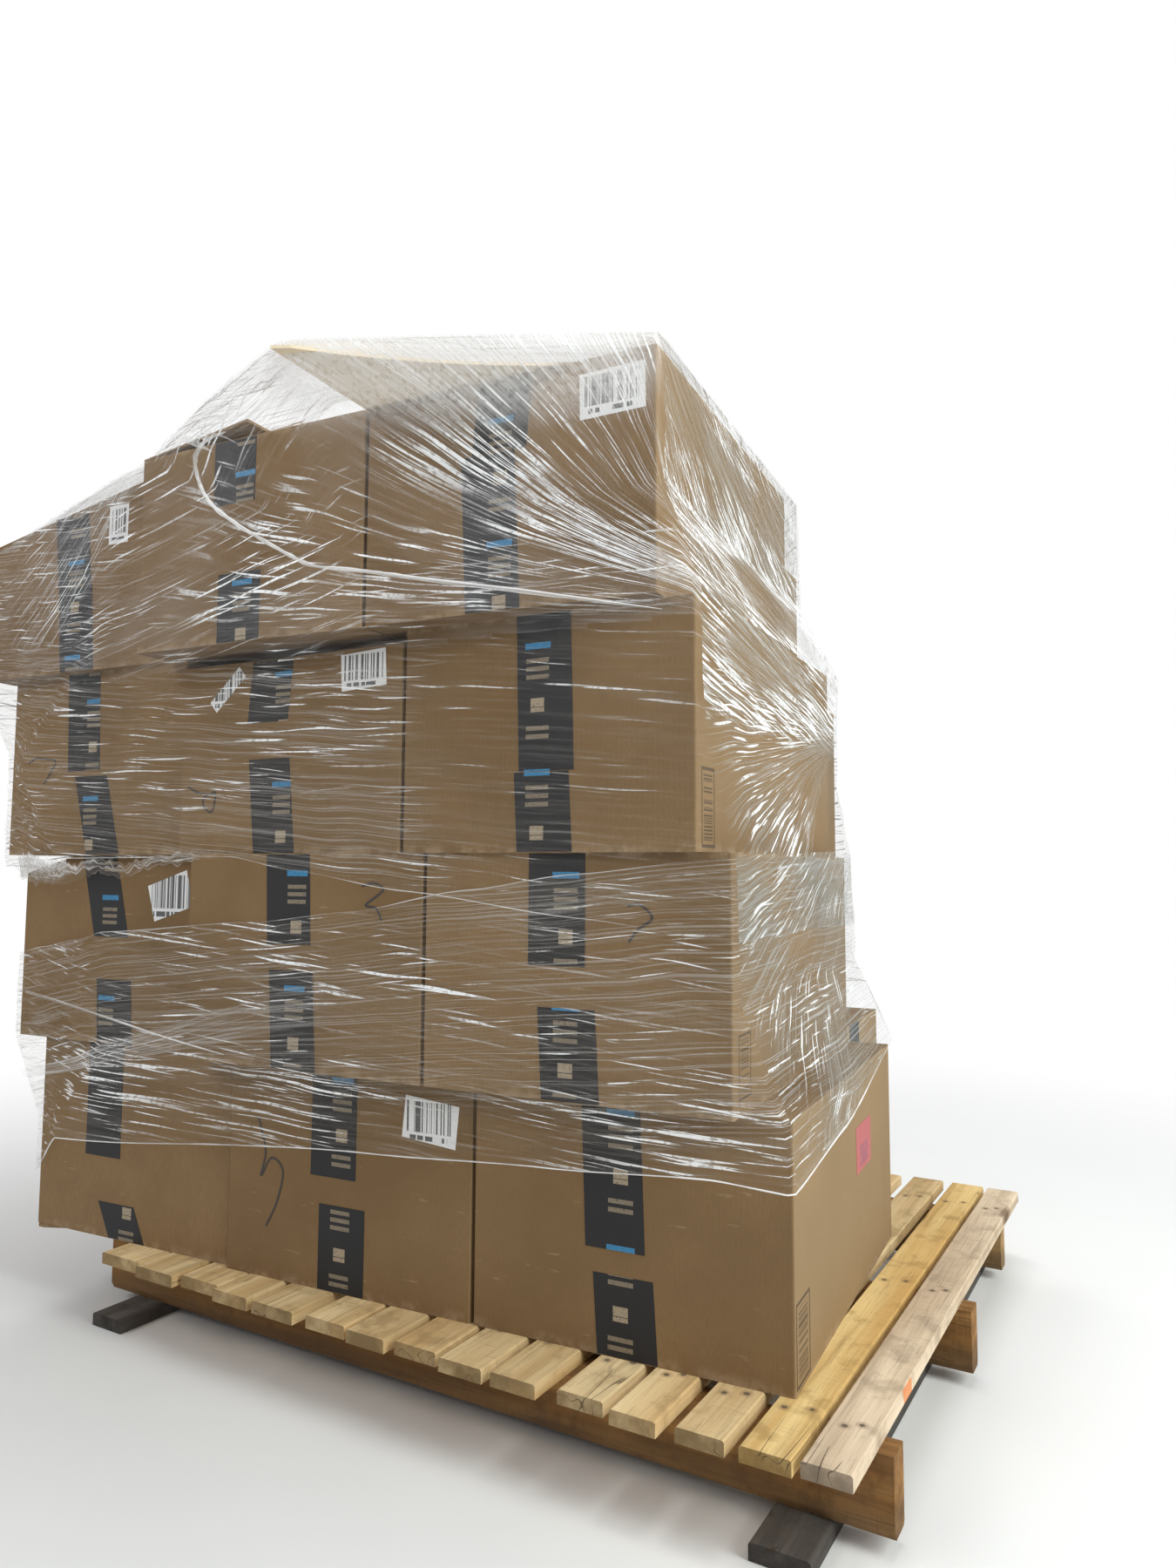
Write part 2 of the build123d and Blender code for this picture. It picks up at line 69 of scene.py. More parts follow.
# Tiers, from the lowest: right front corner in from the stringers' right end and out from the front stringer,
# turn, and how far the left carton stands back
TIER_IN = (0.110, 0.162, 0.197, 0.232)
TIER_OUT = (0.028, -0.013, -0.030, -0.056)
TIER_TURN = tuple(math.radians(turn) for turn in (4.2, 4.3, 2.6, 5.0))
TIER_SETBACK = (0.008, 0.040, 0.008, 0.060)
DECK_TOP = 0.114
TIER_TOP = DECK_TOP + 4 * CARTON_HEIGHT
TOP_TIER = 3

# Damage that the film follows: the flap folded out of the top right carton, and the slumped top left corner
FLAP_CARTON = "carton_t4_right"
FLAP_DROP, FLAP_OUT = 0.190, 0.168
SLUMP_DROP, SLUMP_ALONG, SLUMP_BACK = 0.088, 0.455, 0.39

# Camera, from the front stringer's right front low corner, and its yaw, pitch and roll in degrees
CAMERA_REACH = (0.2851, -1.0867, 0.6575)
CAMERA_TURN = (30.46, 4.71, -0.25)
CAMERA_LENS = 31.93
LOAD_MIDDLE = (0.05, 0.0, 0.65)

stringer_low, stringer_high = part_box("stringer_front")


def tier_place(tier):
    """Turns a tier's own axes, right to left along -X from its front right corner, into the load's."""
    corner = Vector((stringer_high[0] - TIER_IN[tier], stringer_low[1] + TIER_OUT[tier],
                     DECK_TOP + tier * CARTON_HEIGHT))
    return Matrix.Translation(corner) @ Matrix.Rotation(TIER_TURN[tier], 4, "Z")


def node_tier(name):
    """Tier of a node such as carton_t1_left, from 0."""
    return int(name.split("_")[1][1:]) - 1


# Camera and light

def make_camera():
    lens = bpy.data.cameras.new("camera")
    lens.sensor_fit = "HORIZONTAL"
    lens.sensor_width = 36.0
    lens.lens = CAMERA_LENS
    lens.clip_end = 60.0
    camera = bpy.data.objects.new("camera", lens)
    bpy.context.collection.objects.link(camera)
    camera.location = (stringer_high[0] + CAMERA_REACH[0], stringer_low[1] + CAMERA_REACH[1],
                       stringer_low[2] + CAMERA_REACH[2])
    yaw, pitch, roll = (math.radians(turn) for turn in CAMERA_TURN)
    level = Matrix.Rotation(math.radians(90), 3, "X")
    camera.rotation_euler = (Matrix.Rotation(yaw, 3, "Z") @ Matrix.Rotation(pitch, 3, "X")
                             @ Matrix.Rotation(roll, 3, "Y") @ level).to_euler()
    bpy.context.scene.camera = camera


def area_light(name, place, target, size, power, colour=(1, 1, 1)):
    data = bpy.data.lights.new(name, "AREA")
    data.shape = "RECTANGLE"
    data.size, data.size_y = size
    data.energy = power
    data.color = colour
    lamp = bpy.data.objects.new(name, data)
    bpy.context.collection.objects.link(lamp)
    lamp.location = place
    lamp.rotation_euler = (Vector(target) - Vector(place)).to_track_quat("-Z", "Y").to_euler()


# Shader maths

class Wire:
    """A socket in a finish, with the sums that the finishes need."""

    def __init__(self, finish, socket):
        self.finish, self.socket = finish, socket

    def sum(self, operation, *others, clamp=False):
        maths = self.finish.node("ShaderNodeMath", {"operation": operation, "use_clamp": clamp},
                                 dict(enumerate((self,) + others)))
        return self.finish.wire(maths)

    def __add__(self, other):
        return self.sum("ADD", other)

    def __sub__(self, other):
        return self.sum("SUBTRACT", other)

    def __rsub__(self, other):
        return self.sum("MULTIPLY", -1.0) + other

    def __mul__(self, other):
        return self.sum("MULTIPLY", other)

    __radd__ = __add__
    __rmul__ = __mul__

    def __pow__(self, power):
        return self.sum("POWER", power)

    def __abs__(self):
        return self.sum("ABSOLUTE")

    def above(self, edge):
        return self.sum("GREATER_THAN", edge)

    def at_least(self, other):
        return self.sum("MAXIMUM", other)

    def wave(self):
        return self.sum("SINE")

    def fraction(self):
        return self.sum("FRACT")

    def angle_over(self, other):
        return self.sum("ARCTAN2", other)

    def held(self):
        """Kept from 0 to 1."""
        return self.sum("ADD", 0.0, clamp=True)

    def within(self, edge):
        """1 up to a value."""
        return 1 - self.above(edge)

    def between(self, low, high):
        """1 between two values."""
        return self.above(low) * self.within(high)

    def fade(self, low, high):
        """Rises smoothly from 0 at one value to 1 at the other, which may be the lower one."""
        span = self.finish.node("ShaderNodeMapRange", {"interpolation_type": "SMOOTHSTEP"},
                                {"Value": self, "From Min": min(low, high), "From Max": max(low, high)})
        rise = self.finish.wire(span, "Result")
        return rise if low < high else 1 - rise


def distance(one, two):
    return (one * one + two * two) ** 0.5


class Finish:
    """The nodes of a material, or of the room's light."""

    def __init__(self, owner):
        self.owner = owner
        owner.use_nodes = True
        self.tree = owner.node_tree
        self.tree.nodes.clear()

    def node(self, kind, settings=None, values=None):
        made = self.tree.nodes.new(kind)
        for key, value in (settings or {}).items():
            setattr(made, key, value)
        for key, value in (values or {}).items():
            if isinstance(value, Wire):
                self.tree.links.new(value.socket, made.inputs[key])
            else:
                made.inputs[key].default_value = value
        return made

    def wire(self, made, output=0):
        return Wire(self, made.outputs[output])

    def place(self, kind="Object"):
        return self.wire(self.node("ShaderNodeTexCoord"), kind)

    def turned(self, vector, turn=(0, 0, 0), scale=(1, 1, 1), move=(0, 0, 0)):
        return self.wire(self.node("ShaderNodeMapping", {},
                                   {"Vector": vector, "Rotation": turn, "Scale": scale, "Location": move}))

    def axes(self, vector):
        apart = self.node("ShaderNodeSeparateXYZ", {}, {0: vector})
        return [self.wire(apart, index) for index in range(3)]

    def joined(self, x, y, z):
        return self.wire(self.node("ShaderNodeCombineXYZ", {}, {0: x, 1: y, 2: z}))

    def grain(self, vector, scale, detail=3.0, rough=0.5, distort=0.0):
        return self.wire(self.node("ShaderNodeTexNoise", {},
                                   {"Vector": vector, "Scale": scale, "Detail": detail, "Roughness": rough,
                                    "Distortion": distort}))

    def cells(self, vector, scale):
        made = self.node("ShaderNodeTexVoronoi", {}, {"Vector": vector, "Scale": scale})
        return self.wire(made, "Distance")

    def tint(self, amount, one, two):
        """Between two colours, or wires that carry colour."""
        one = one if isinstance(one, Wire) else (*one, 1)
        two = two if isinstance(two, Wire) else (*two, 1)
        mixed = self.node("ShaderNodeMix", {"data_type": "RGBA"}, {0: amount, 6: one, 7: two})
        return self.wire(mixed, 2)

    def relief(self, height, strength, distance):
        return self.wire(self.node("ShaderNodeBump", {}, {"Height": height, "Strength": strength,
                                                          "Distance": distance}))

    def blend(self, amount, one, two):
        """Between two shaders' nodes."""
        return self.node("ShaderNodeMixShader", {}, {0: amount, 1: self.wire(one), 2: self.wire(two)})

    def close(self, surface, output="ShaderNodeOutputMaterial"):
        self.tree.links.new(surface.outputs[0], self.node(output).inputs[0])
        return self.owner

    def finish(self, **values):
        """Closes the material with one principled shader."""
        names = {key.replace("_", " ").title().replace("Ior", "IOR"): value for key, value in values.items()}
        return self.close(self.node("ShaderNodeBsdfPrincipled", {}, names))


def new_finish(name):
    return Finish(bpy.data.materials.new(name))


def shade(colour, share):
    return tuple(side * share for side in colour)


def tier_axes(paint, tier):
    """A tier's own place vector, and its metres along the front from the right corner, back, and up."""
    turned = paint.turned(paint.place(), turn=(0, 0, -TIER_TURN[tier]),
                          move=tier_place(tier).inverted().translation)
    return turned, paint.axes(turned)


# Cardboard, wood and paper

FLUTE_PITCH = 0.0066
CARDBOARD, CARDBOARD_PALE, CARDBOARD_RUBBED = (0.178, 0.108, 0.048), (0.252, 0.158, 0.075), (0.43, 0.32, 0.20)

# Frames of fine bars printed low on right sides: nearest and farthest from the front edge, lowest and highest
SIDE_PRINTS = {
    "carton_t1_right": (0.004, 0.063, 0.005, 0.095),
    "carton_t2_right": (0.019, 0.064, 0.017, 0.089),
    "carton_t3_right": (0.016, 0.057, 0.005, 0.097),
}


def side_print(paint, name, along, back, up):
    """Mask of a plain frame with uneven rungs in it."""
    near, far, low, high = SIDE_PRINTS[name]
    depth, rise = (back - near) * (1 / (far - near)), (up - low) * (1 / (high - low))
    inside = depth.between(0, 1) * rise.between(0, 1) * along.above(-0.0015)
    frame_line = 1 - depth.between(0.07, 0.93) * rise.between(0.04, 0.96)
    rungs = paint.grain(paint.joined(rise * 44, 0.0, node_tier(name) * 3.0), 1.0, 0, 0.0).above(0.50)
    bars = depth.between(0.17, 0.83) * rungs * rise.between(0.08, 0.92)
    return inside * (frame_line + bars).held()


def cardboard(name):
    """Brown corrugated board: faint flutes, mottled liner, scuffed edges, and what is printed on its side."""
    tier = node_tier(name)
    seed = 7 * tier + 1 + COLUMNS.index(name.split("_", 2)[2])
    paint = new_finish(f"cardboard_t{tier + 1}_{seed}")
    place, (along, back, up) = tier_axes(paint, tier)
    shifted = paint.turned(place, move=(seed * 1.7, seed * 0.9, seed * 0.4))
    cloud = paint.grain(shifted, 3.2, 4, 0.55)
    fibre = paint.grain(paint.turned(shifted, scale=(420, 420, 90)), 1.0, 2, 0.6)
    speck = paint.grain(shifted, 260, 2, 0.7)
    flute = (along * (2 * math.pi / FLUTE_PITCH)).wave() * 0.5 + 0.5
    face_x, _, face_z = paint.axes(paint.place("Normal"))
    colour = paint.tint(cloud.fade(0.3, 0.72), CARDBOARD, CARDBOARD_PALE)
    colour = paint.tint(fibre.fade(0.35, 0.75) * 0.35, colour, (0.165, 0.100, 0.045))
    colour = paint.tint(speck.fade(0.66, 0.80) * 0.30, colour, (0.120, 0.075, 0.040))
    colour = paint.tint(flute * 0.02, colour, (0.180, 0.115, 0.060))

    # painted light: right faces are painted paler, as if lit from the right, most of all on the bare lowest
    # tier
    colour = paint.tint(face_x.fade(0.6, 0.9) * (0.35 if tier == 0 else 0.12), colour, (0.42, 0.30, 0.165))
    edges = up.fade(0.016, 0.0) + (up - CARTON_HEIGHT).fade(-0.010, 0.0)
    rub = paint.grain(shifted, 38, 4, 0.6).fade(0.42, 0.62) * edges * abs(face_z).fade(0.8, 0.5)
    colour = paint.tint(rub.held() * 0.45, colour, CARDBOARD_RUBBED)
    slanted = paint.turned(shifted, turn=(0, 0.5, 0), scale=(14, 14, 90))
    scuff = paint.grain(slanted, 1.0, 3, 0.7).fade(0.66, 0.72)
    colour = paint.tint(scuff * 0.35, colour, (0.40, 0.29, 0.175))
    # painted light: the flap folded out in front of this carton is painted pale, as lit from above
    if name == FLAP_CARTON:
        colour = paint.tint(back.fade(-0.003, -0.015), colour, (0.80, 0.68, 0.50))
    if name in SIDE_PRINTS:
        colour = paint.tint(side_print(paint, name, along, back, up) * 0.75, colour, (0.045, 0.032, 0.022))
    height = flute * 0.10 + fibre * 0.4 + cloud * 0.6
    return paint.finish(base_color=colour, roughness=0.72 + speck * 0.12, specular_ior_level=0.25,
                        normal=paint.relief(height, 0.25, 0.0015))


# Pale and dark wood, and how dirty it is
DECK_WOOD = ((0.80, 0.61, 0.34), (0.58, 0.38, 0.17), 0.18)
STRINGER_WOOD = ((0.40, 0.210, 0.070), (0.20, 0.095, 0.030), 0.35)
BOTTOM_WOOD = ((0.15, 0.135, 0.12), (0.075, 0.066, 0.058), 0.8)
WOODS = {
    "deck_board_14": ((0.86, 0.63, 0.28), (0.62, 0.38, 0.13), 0.22),
    "deck_board_15": ((0.74, 0.60, 0.43), (0.54, 0.41, 0.28), 0.40),
    "stringer_front": STRINGER_WOOD,
    "stringer_middle": STRINGER_WOOD,
    "stringer_back": ((0.42, 0.27, 0.12), (0.26, 0.155, 0.065), 0.6),
    "bottom_board_left": BOTTOM_WOOD,
    "bottom_board_right": BOTTOM_WOOD,
}
MARKED_BOARD, MARK_START, MARK_END = "deck_board_15", 0.192, 0.228


def nailed(paint, colour, name, seed, blotch):
    """Two nail heads, each in its own stain, where a board crosses each stringer."""
    low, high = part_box(name)
    x, y, _ = paint.axes(paint.place())
    middle, width = (low[0] + high[0]) / 2, high[0] - low[0]
    spread = width * (0.15 + 0.05 * (seed % 3))
    for row in ("stringer_front", "stringer_middle", "stringer_back"):
        row_low, row_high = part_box(row)
        line = (row_low[1] + row_high[1]) / 2 - 0.010 + 0.004 * (seed % 2)
        for side in (-1, 1):
            gap = distance(x - (middle + side * spread), y - (line + 0.005 * side)) + (blotch - 0.5) * 0.004
            colour = paint.tint(gap.fade(0.010, 0.003) * 0.40, colour, (0.16, 0.10, 0.06))
            colour = paint.tint(gap.fade(0.0040, 0.0024) * 0.75, colour, (0.060, 0.045, 0.035))
    return colour


def wood(name, seed, pale, dark, dirt):
    """Sawn softwood: grain along it, knots, saw marks across it, nails, end checks, grey and brown stains."""
    paint = new_finish(f"wood_{name}")
    low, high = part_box(name)
    along_x = name.startswith("stringer")
    x, y, z = paint.axes(paint.place())
    board = paint.turned(paint.place(), move=(seed * 1.31, seed * 2.17, seed * 0.77))

    def drawn_out(run, cross):
        return paint.turned(board, scale=(run, cross, cross) if along_x else (cross, run, cross))

    rings = paint.grain(drawn_out(1.3, 22), 1.0, 2, 0.5, 0.6)
    lines = paint.grain(drawn_out(5, 130), 1.0, 3, 0.6)
    pores = paint.grain(drawn_out(15, 390), 1.0, 2, 0.6)
    knot = paint.cells(drawn_out(3.1, 11), 1.0).fade(0.15, 0.04)
    saw = paint.grain(drawn_out(430, 16), 1.0, 2, 0.6)
    stain = paint.grain(board, 5.5, 4, 0.6)
    blotch = paint.grain(board, 17, 4, 0.65)
    colour = paint.tint(rings.fade(0.35, 0.68), pale, dark)
    colour = paint.tint(lines.fade(0.45, 0.75) * 0.5, colour, shade(dark, 0.55))
    colour = paint.tint(saw.fade(0.55, 0.75) * stain.fade(0.42, 0.55) * 0.35, colour, shade(dark, 0.6))
    colour = paint.tint(blotch.fade(0.50, 0.68) * 0.60, colour, shade(dark, 0.62))
    colour = paint.tint(pores.fade(0.55, 0.8) * 0.35, colour, (0.10, 0.065, 0.035))
    colour = paint.tint(knot * 0.8, colour, (0.095, 0.045, 0.020))
    if along_x:
        damp = z + (stain - 0.5) * 0.06
        colour = paint.tint(damp.fade(0.058, 0.030) * 0.55, colour, (0.085, 0.060, 0.038))
        from_end = (high[0] - low[0]) / 2 - abs(x - (low[0] + high[0]) / 2)
    else:
        ends = abs(paint.axes(paint.place("Normal"))[1]).fade(0.6, 0.9)
        colour = paint.tint(ends * (blotch.fade(0.30, 0.60) * 0.4 + 0.50), colour, shade(dark, 0.36))
        colour = nailed(paint, colour, name, seed, blotch)
        from_end = (high[1] - low[1]) / 2 - abs(y - (low[1] + high[1]) / 2)

    # cracks that run in from the sawn ends
    check = abs(paint.grain(drawn_out(1.6, 34), 1.0, 1, 0.4) - 0.54).fade(0.006, 0.002)
    check = check * from_end.fade(0.10, 0.03) * stain.fade(0.46, 0.52)
    colour = paint.tint(check * 0.75, colour, (0.060, 0.038, 0.022))
    colour = paint.tint(stain.fade(0.52, 0.75) * dirt, colour, (0.085, 0.072, 0.060))
    if name == MARKED_BOARD:
        uneven = y + (blotch - 0.5) * 0.03
        mark = uneven.between(low[1] + MARK_START, low[1] + MARK_END) * x.above(high[0] - 0.0008)
        colour = paint.tint(mark * 0.75, colour, (0.72, 0.20, 0.035))
    height = rings * 0.3 + lines * 0.6 + saw * 0.35 + pores * 0.3 + blotch * 0.4 - check * 1.5
    return paint.finish(base_color=colour, roughness=0.78 + pores * 0.15, specular_ior_level=0.2,
                        normal=paint.relief(height, 0.55, 0.0022))


# What is printed down the tape, as shares of its repeat and half widths
TAPE_REPEAT = 0.155
TAPE_BARS, TAPE_BAR_HALF = ((0.05, 0.085), (0.115, 0.15), (0.52, 0.555), (0.585, 0.62), (0.65, 0.685)), 0.016
TAPE_BLOCK, TAPE_BLOCK_SLIT, TAPE_BLOCK_HALF = (0.26, 0.37), (0.295, 0.30), 0.0095
TAPE_BLUE, TAPE_BLUE_HALF = (0.76, 0.81), 0.018


def closing_tape(tier):
    """Black paper tape with reinforcing threads and plain pale blocks printed down it."""
    paint = new_finish(f"closing_tape_t{tier + 1}")
    place, (along, back, up) = tier_axes(paint, tier)
    from_middle = abs(((along + ROW + CARTON_GAP) * (1 / COLUMN_PITCH)).fraction() - 0.5) * COLUMN_PITCH
    down = ((up + back + 0.013 * tier) * (1 / TAPE_REPEAT)).fraction()
    thread = paint.grain(paint.turned(place, scale=(900, 900, 40)), 1.0, 2, 0.6)
    cloud = paint.grain(place, 22, 3, 0.6)
    bars = sum(down.between(*bar) for bar in TAPE_BARS) * from_middle.within(TAPE_BAR_HALF) * 0.6
    block = down.between(*TAPE_BLOCK) * (1 - down.between(*TAPE_BLOCK_SLIT))
    block = block * from_middle.within(TAPE_BLOCK_HALF)
    blue = down.between(*TAPE_BLUE) * from_middle.within(TAPE_BLUE_HALF)
    worn = paint.grain(place, 420, 3, 0.7).fade(0.30, 0.46)
    colour = paint.tint(cloud * 0.5 + thread * 0.25, (0.007, 0.007, 0.008), (0.024, 0.023, 0.024))
    colour = paint.tint((bars + block).held() * worn * 0.85, colour, (0.40, 0.32, 0.22))
    colour = paint.tint(blue * worn * 0.85, colour, (0.045, 0.24, 0.45))
    return paint.finish(base_color=colour, roughness=0.50 + cloud * 0.15, specular_ior_level=0.35,
                        normal=paint.relief(thread + cloud, 0.2, 0.0006))


RED_LABEL = "label_t1_side"
WHITE_PAPER, RED_PAPER = (0.80, 0.80, 0.79), (0.46, 0.105, 0.10)


def label_paper(name):
    """Paper label: white with a row of plain upright bars of different widths, or red with a faint block."""
    paint = new_finish(f"paper_{name}")
    colour = RED_PAPER if name == RED_LABEL else WHITE_PAPER
    low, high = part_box(name)
    place = paint.place()
    x, y, z = paint.axes(place)
    if high[0] - low[0] > high[1] - low[1]:
        along = (x - low[0]) * (1 / (high[0] - low[0]))
    else:
        along = (y - low[1]) * (1 / (high[1] - low[1]))
    up = (z - low[2]) * (1 / (high[2] - low[2]))
    grey = paint.grain(place, 60, 3, 0.6)
    tone = paint.tint(grey * 0.4, colour, shade(colour, 0.82))
    if name == RED_LABEL:
        block = along.between(0.22, 0.78) * up.between(0.10, 0.55) * grey.fade(0.30, 0.50)
        tone = paint.tint(block * 0.45, tone, (0.16, 0.05, 0.12))
    else:
        bars = paint.grain(paint.turned(place, scale=(430, 430, 0.0)), 1.0, 0, 0.0).above(0.5)
        line = paint.grain(paint.turned(place, scale=(160, 160, 0.0)), 1.0, 0, 0.0).above(0.42)
        bars = bars * along.between(0.08, 0.92) * up.between(0.26, 0.90)
        line = line * along.between(0.14, 0.80) * up.between(0.10, 0.20)
        tone = paint.tint((bars + line).held() * 0.9, tone, (0.02, 0.02, 0.022))
    return paint.finish(base_color=tone, roughness=0.5 + grey * 0.1, normal=paint.relief(grey, 0.15, 0.0005))


def coat(piece, material):
    piece.data.materials.clear()
    piece.data.materials.append(material)


def dress_cad():
    for index, (name, node) in enumerate(sorted(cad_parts.items())):
        if name.startswith("carton"):
            coat(node, cardboard(name))
        elif name.startswith(("deck", "stringer", "bottom")):
            pale, dark, dirt = WOODS.get(name, DECK_WOOD)
            light = 0.88 + 0.24 * random.random()
            coat(node, wood(name, index, shade(pale, light), shade(dark, light), dirt))
        elif name.startswith("tape"):
            coat(node, closing_tape(node_tier(name)))
        elif name.startswith("label"):
            coat(node, label_paper(name))


# Shape of the stretch film

# Corners of the outline as shares of the way round, from the left front corner to the right, and its length.
# The first two sides are the front, the third is the right side.
SIDE_SHARES = (0.0, 0.095, 0.285, 0.415, 0.512, 0.774, 1.0)
ROUND = 4.31
LEFT_FRONT_LEAN = math.radians(9.0)

# Height over which the film leaves one tier's outline for the next, and its lift off the cartons
TENT = 0.125
FILM_OFF = 0.0030
SHEET_COLUMNS = 330
SHEET_WAVES = 0.0022

# Shares of the line of sight to a carton that the film lies between, and how often that span is halved
SIGHT_NEAR, SIGHT_FAR, HALVINGS = 0.80, 1.06, 13
ROOF_HEIGHT = TIER_TOP + 0.012
TOP_INVERSE = tier_place(TOP_TIER).inverted()


def tier_outline(tier):
    """What a tier holds the film out with, from its right front corner round."""
    setback = TIER_SETBACK[tier]
    rear = CARTON_DEPTH + CARTON_GAP + setback + CARTON_WIDTH
    spots = ((0, 0), (0, CARTON_DEPTH), (-BACK_STEP, rear), (-ROW, rear), (-ROW, setback),
             (CARTON_WIDTH - ROW, setback), (-2 * COLUMN_PITCH + CARTON_GAP, 0))
    return [tier_place(tier) @ Vector((along, back, 0)) for along, back in spots]


def drawn_outline(lower, upper):
    """Corners of the outline drawn tight round two tiers, from the left front corner to the right."""
    points = tier_outline(lower) + tier_outline(upper)
    turn = (TIER_TURN[lower] + TIER_TURN[upper]) / 2
    quarter = math.pi / 2
    slant = quarter - math.atan2(CARTON_WIDTH, BACK_STEP)
    sides = []
    for angle in (turn - quarter, turn, turn + slant, turn + quarter, turn + 2 * quarter,
                  turn + 3 * quarter - LEFT_FRONT_LEAN):
        face = Vector((math.cos(angle), math.sin(angle)))
        sides.append((face, max(point.xy.dot(face) for point in points) + FILM_OFF))
    corners = []
    for (one, near), (two, far) in zip(sides, sides[1:] + sides[:1]):
        area = one.cross(two)
        corners.append(Vector(((near * two.y - far * one.y) / area, (far * one.x - near * two.x) / area)))
    return corners[4:] + corners[:4]


def make_levels():
    """Heights and outlines that the film passes through, from the deck to the top."""
    levels = [(0.0, drawn_outline(0, 0))]
    for tier in range(TOP_TIER):
        ledge = DECK_TOP + (tier + 1) * CARTON_HEIGHT
        levels.append((ledge - TENT, drawn_outline(tier, tier)))
        levels.append((ledge, drawn_outline(tier, tier + 1)))
        levels.append((ledge + TENT, drawn_outline(tier + 1, tier + 1)))
    levels.append((TIER_TOP + 0.1, drawn_outline(TOP_TIER, TOP_TIER)))
    return levels


FILM_LEVELS = make_levels()


def outline_at(height):
    for (low, under), (high, over) in zip(FILM_LEVELS, FILM_LEVELS[1:]):
        if height <= high:
            share = max(0.0, (height - low) / (high - low))
            return [one.lerp(two, share) for one, two in zip(under, over)]
    return FILM_LEVELS[-1][1]


def tent_depth(point):
    """How far the film stands out in front of the top tier at a point, over the loose end flap."""
    local = TOP_INVERSE @ point
    rise = min(1.0, (local.z - CARTON_HEIGHT + FLAP_DROP) / (FLAP_DROP - 0.006))
    peak = rise - math.sqrt((local.x + CARTON_WIDTH) ** 2 + 0.0004) / CARTON_WIDTH
    return FLAP_OUT * max(0.0, peak)


def slump(point):
    """How far the film hangs down over the slumped left front corner of the top tier."""
    local = TOP_INVERSE @ point
    reach = (local.x + ROW) / SLUMP_ALONG + (local.y - TIER_SETBACK[TOP_TIER]) / SLUMP_BACK
    return SLUMP_DROP * min(1.0, max(0.0, 1 - reach))


def film_spot(share, height):
    """Point of the film and its outward direction, at a share of the way round and a height."""
    corners = outline_at(height)
    share = share % 1.0
    side = next(index for index in range(6) if share <= SIDE_SHARES[index + 1])
    inside = (share - SIDE_SHARES[side]) / (SIDE_SHARES[side + 1] - SIDE_SHARES[side])
    start, end = corners[side], corners[(side + 1) % 6]
    run = (end - start).normalized()
    point, face = start.lerp(end, inside).to_3d(), Vector((run.y, -run.x, 0))
    point.z = height
    if side < 2:
        point += face * tent_depth(point)
    return point, face


def inside_film(point):
    corners = outline_at(point.z)
    deepest = -math.inf
    for start, end in zip(corners, corners[1:] + corners[:1]):
        run = end - start
        deepest = max(deepest, (point.xy - start).dot(Vector((run.y, -run.x)).normalized()))
    if deepest <= 0:
        return True
    local = TOP_INVERSE @ point
    return local.y < 0 and -local.y < tent_depth(point) + FILM_OFF


def seen_on_film(tier, along, up, lift):
    """Where the line of sight to a spot on a tier's front meets the film."""
    eye = bpy.context.scene.camera.location
    reach = tier_place(tier) @ Vector((along, 0, up)) - eye
    near, far = SIGHT_NEAR, SIGHT_FAR
    for _ in range(HALVINGS):
        middle = (near + far) / 2
        near, far = (near, middle) if inside_film(eye + reach * middle) else (middle, far)
    return eye + reach * (near - lift / reach.length)


def as_piece(name, shape):
    mesh = bpy.data.meshes.new(name)
    shape.to_mesh(mesh)
    shape.free()
    mesh.polygons.foreach_set("use_smooth", [True] * len(mesh.polygons))
    piece = bpy.data.objects.new(name, mesh)
    bpy.context.collection.objects.link(piece)
    return piece


def dress(piece, material):
    coat(piece, material)
    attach(piece, "root")
    return piece


def mapped_grid(name, across, rows, spot, uv, closed=False):
    """A fine grid whose points are set by spot(x, y) and whose pattern by uv(x, y), each from 0 to 1."""
    shape = bmesh.new()
    bmesh.ops.create_grid(shape, x_segments=across, y_segments=rows, size=0.5)
    layer = shape.loops.layers.uv.new("film")
    flat = {vertex: (vertex.co.x + 0.5, vertex.co.y + 0.5) for vertex in shape.verts}
    for part in shape.faces:
        for loop in part.loops:
            loop[layer].uv = uv(*flat[loop.vert])
    for vertex, (x, y) in flat.items():
        vertex.co = spot(x, y)
    if closed:
        bmesh.ops.remove_doubles(shape, verts=shape.verts, dist=1e-5)
        bmesh.ops.recalc_face_normals(shape, faces=shape.faces)
    return as_piece(name, shape)


def wrap_sheet(name, low_edge, high_edge, lift, rows, seed, ragged=0.0):
    """A turn of film round the load between two edges, given as heights by share of the way round."""
    def height_at(share, y, low):
        return low + (high_edge(share) - low) * y

    def place(share, y):
        low = low_edge(share) + ragged * noise.noise(Vector((share * 60, seed, 0.3)))
        height = height_at(share, y, low)
        point, face = film_spot(share, height)
        ripple = noise.noise(Vector((share * 9 + seed, height * 26, seed * 3.3)))
        ripple += 0.5 * noise.noise(Vector((share * 30, height * 70, seed)))
        return point + face * (lift + SHEET_WAVES * (0.9 + ripple))

    def pattern(share, y):
        return share * ROUND, height_at(share, y, low_edge(share))

    return mapped_grid(name, SHEET_COLUMNS, rows, place, pattern)


def edge_line(base, *points):
    """A height that passes through points, given as share of the way round and height above a base."""
    def height(share):
        share = share % 1.0
        for (one, low), (two, high) in zip(points, points[1:]):
            if share <= two:
                inside = (share - one) / (two - one)
                smooth = inside * inside * (3 - 2 * inside)
                return base + low + (high - low) * (0.5 * inside + 0.5 * smooth)
        return base + points[-1][1]
    return height


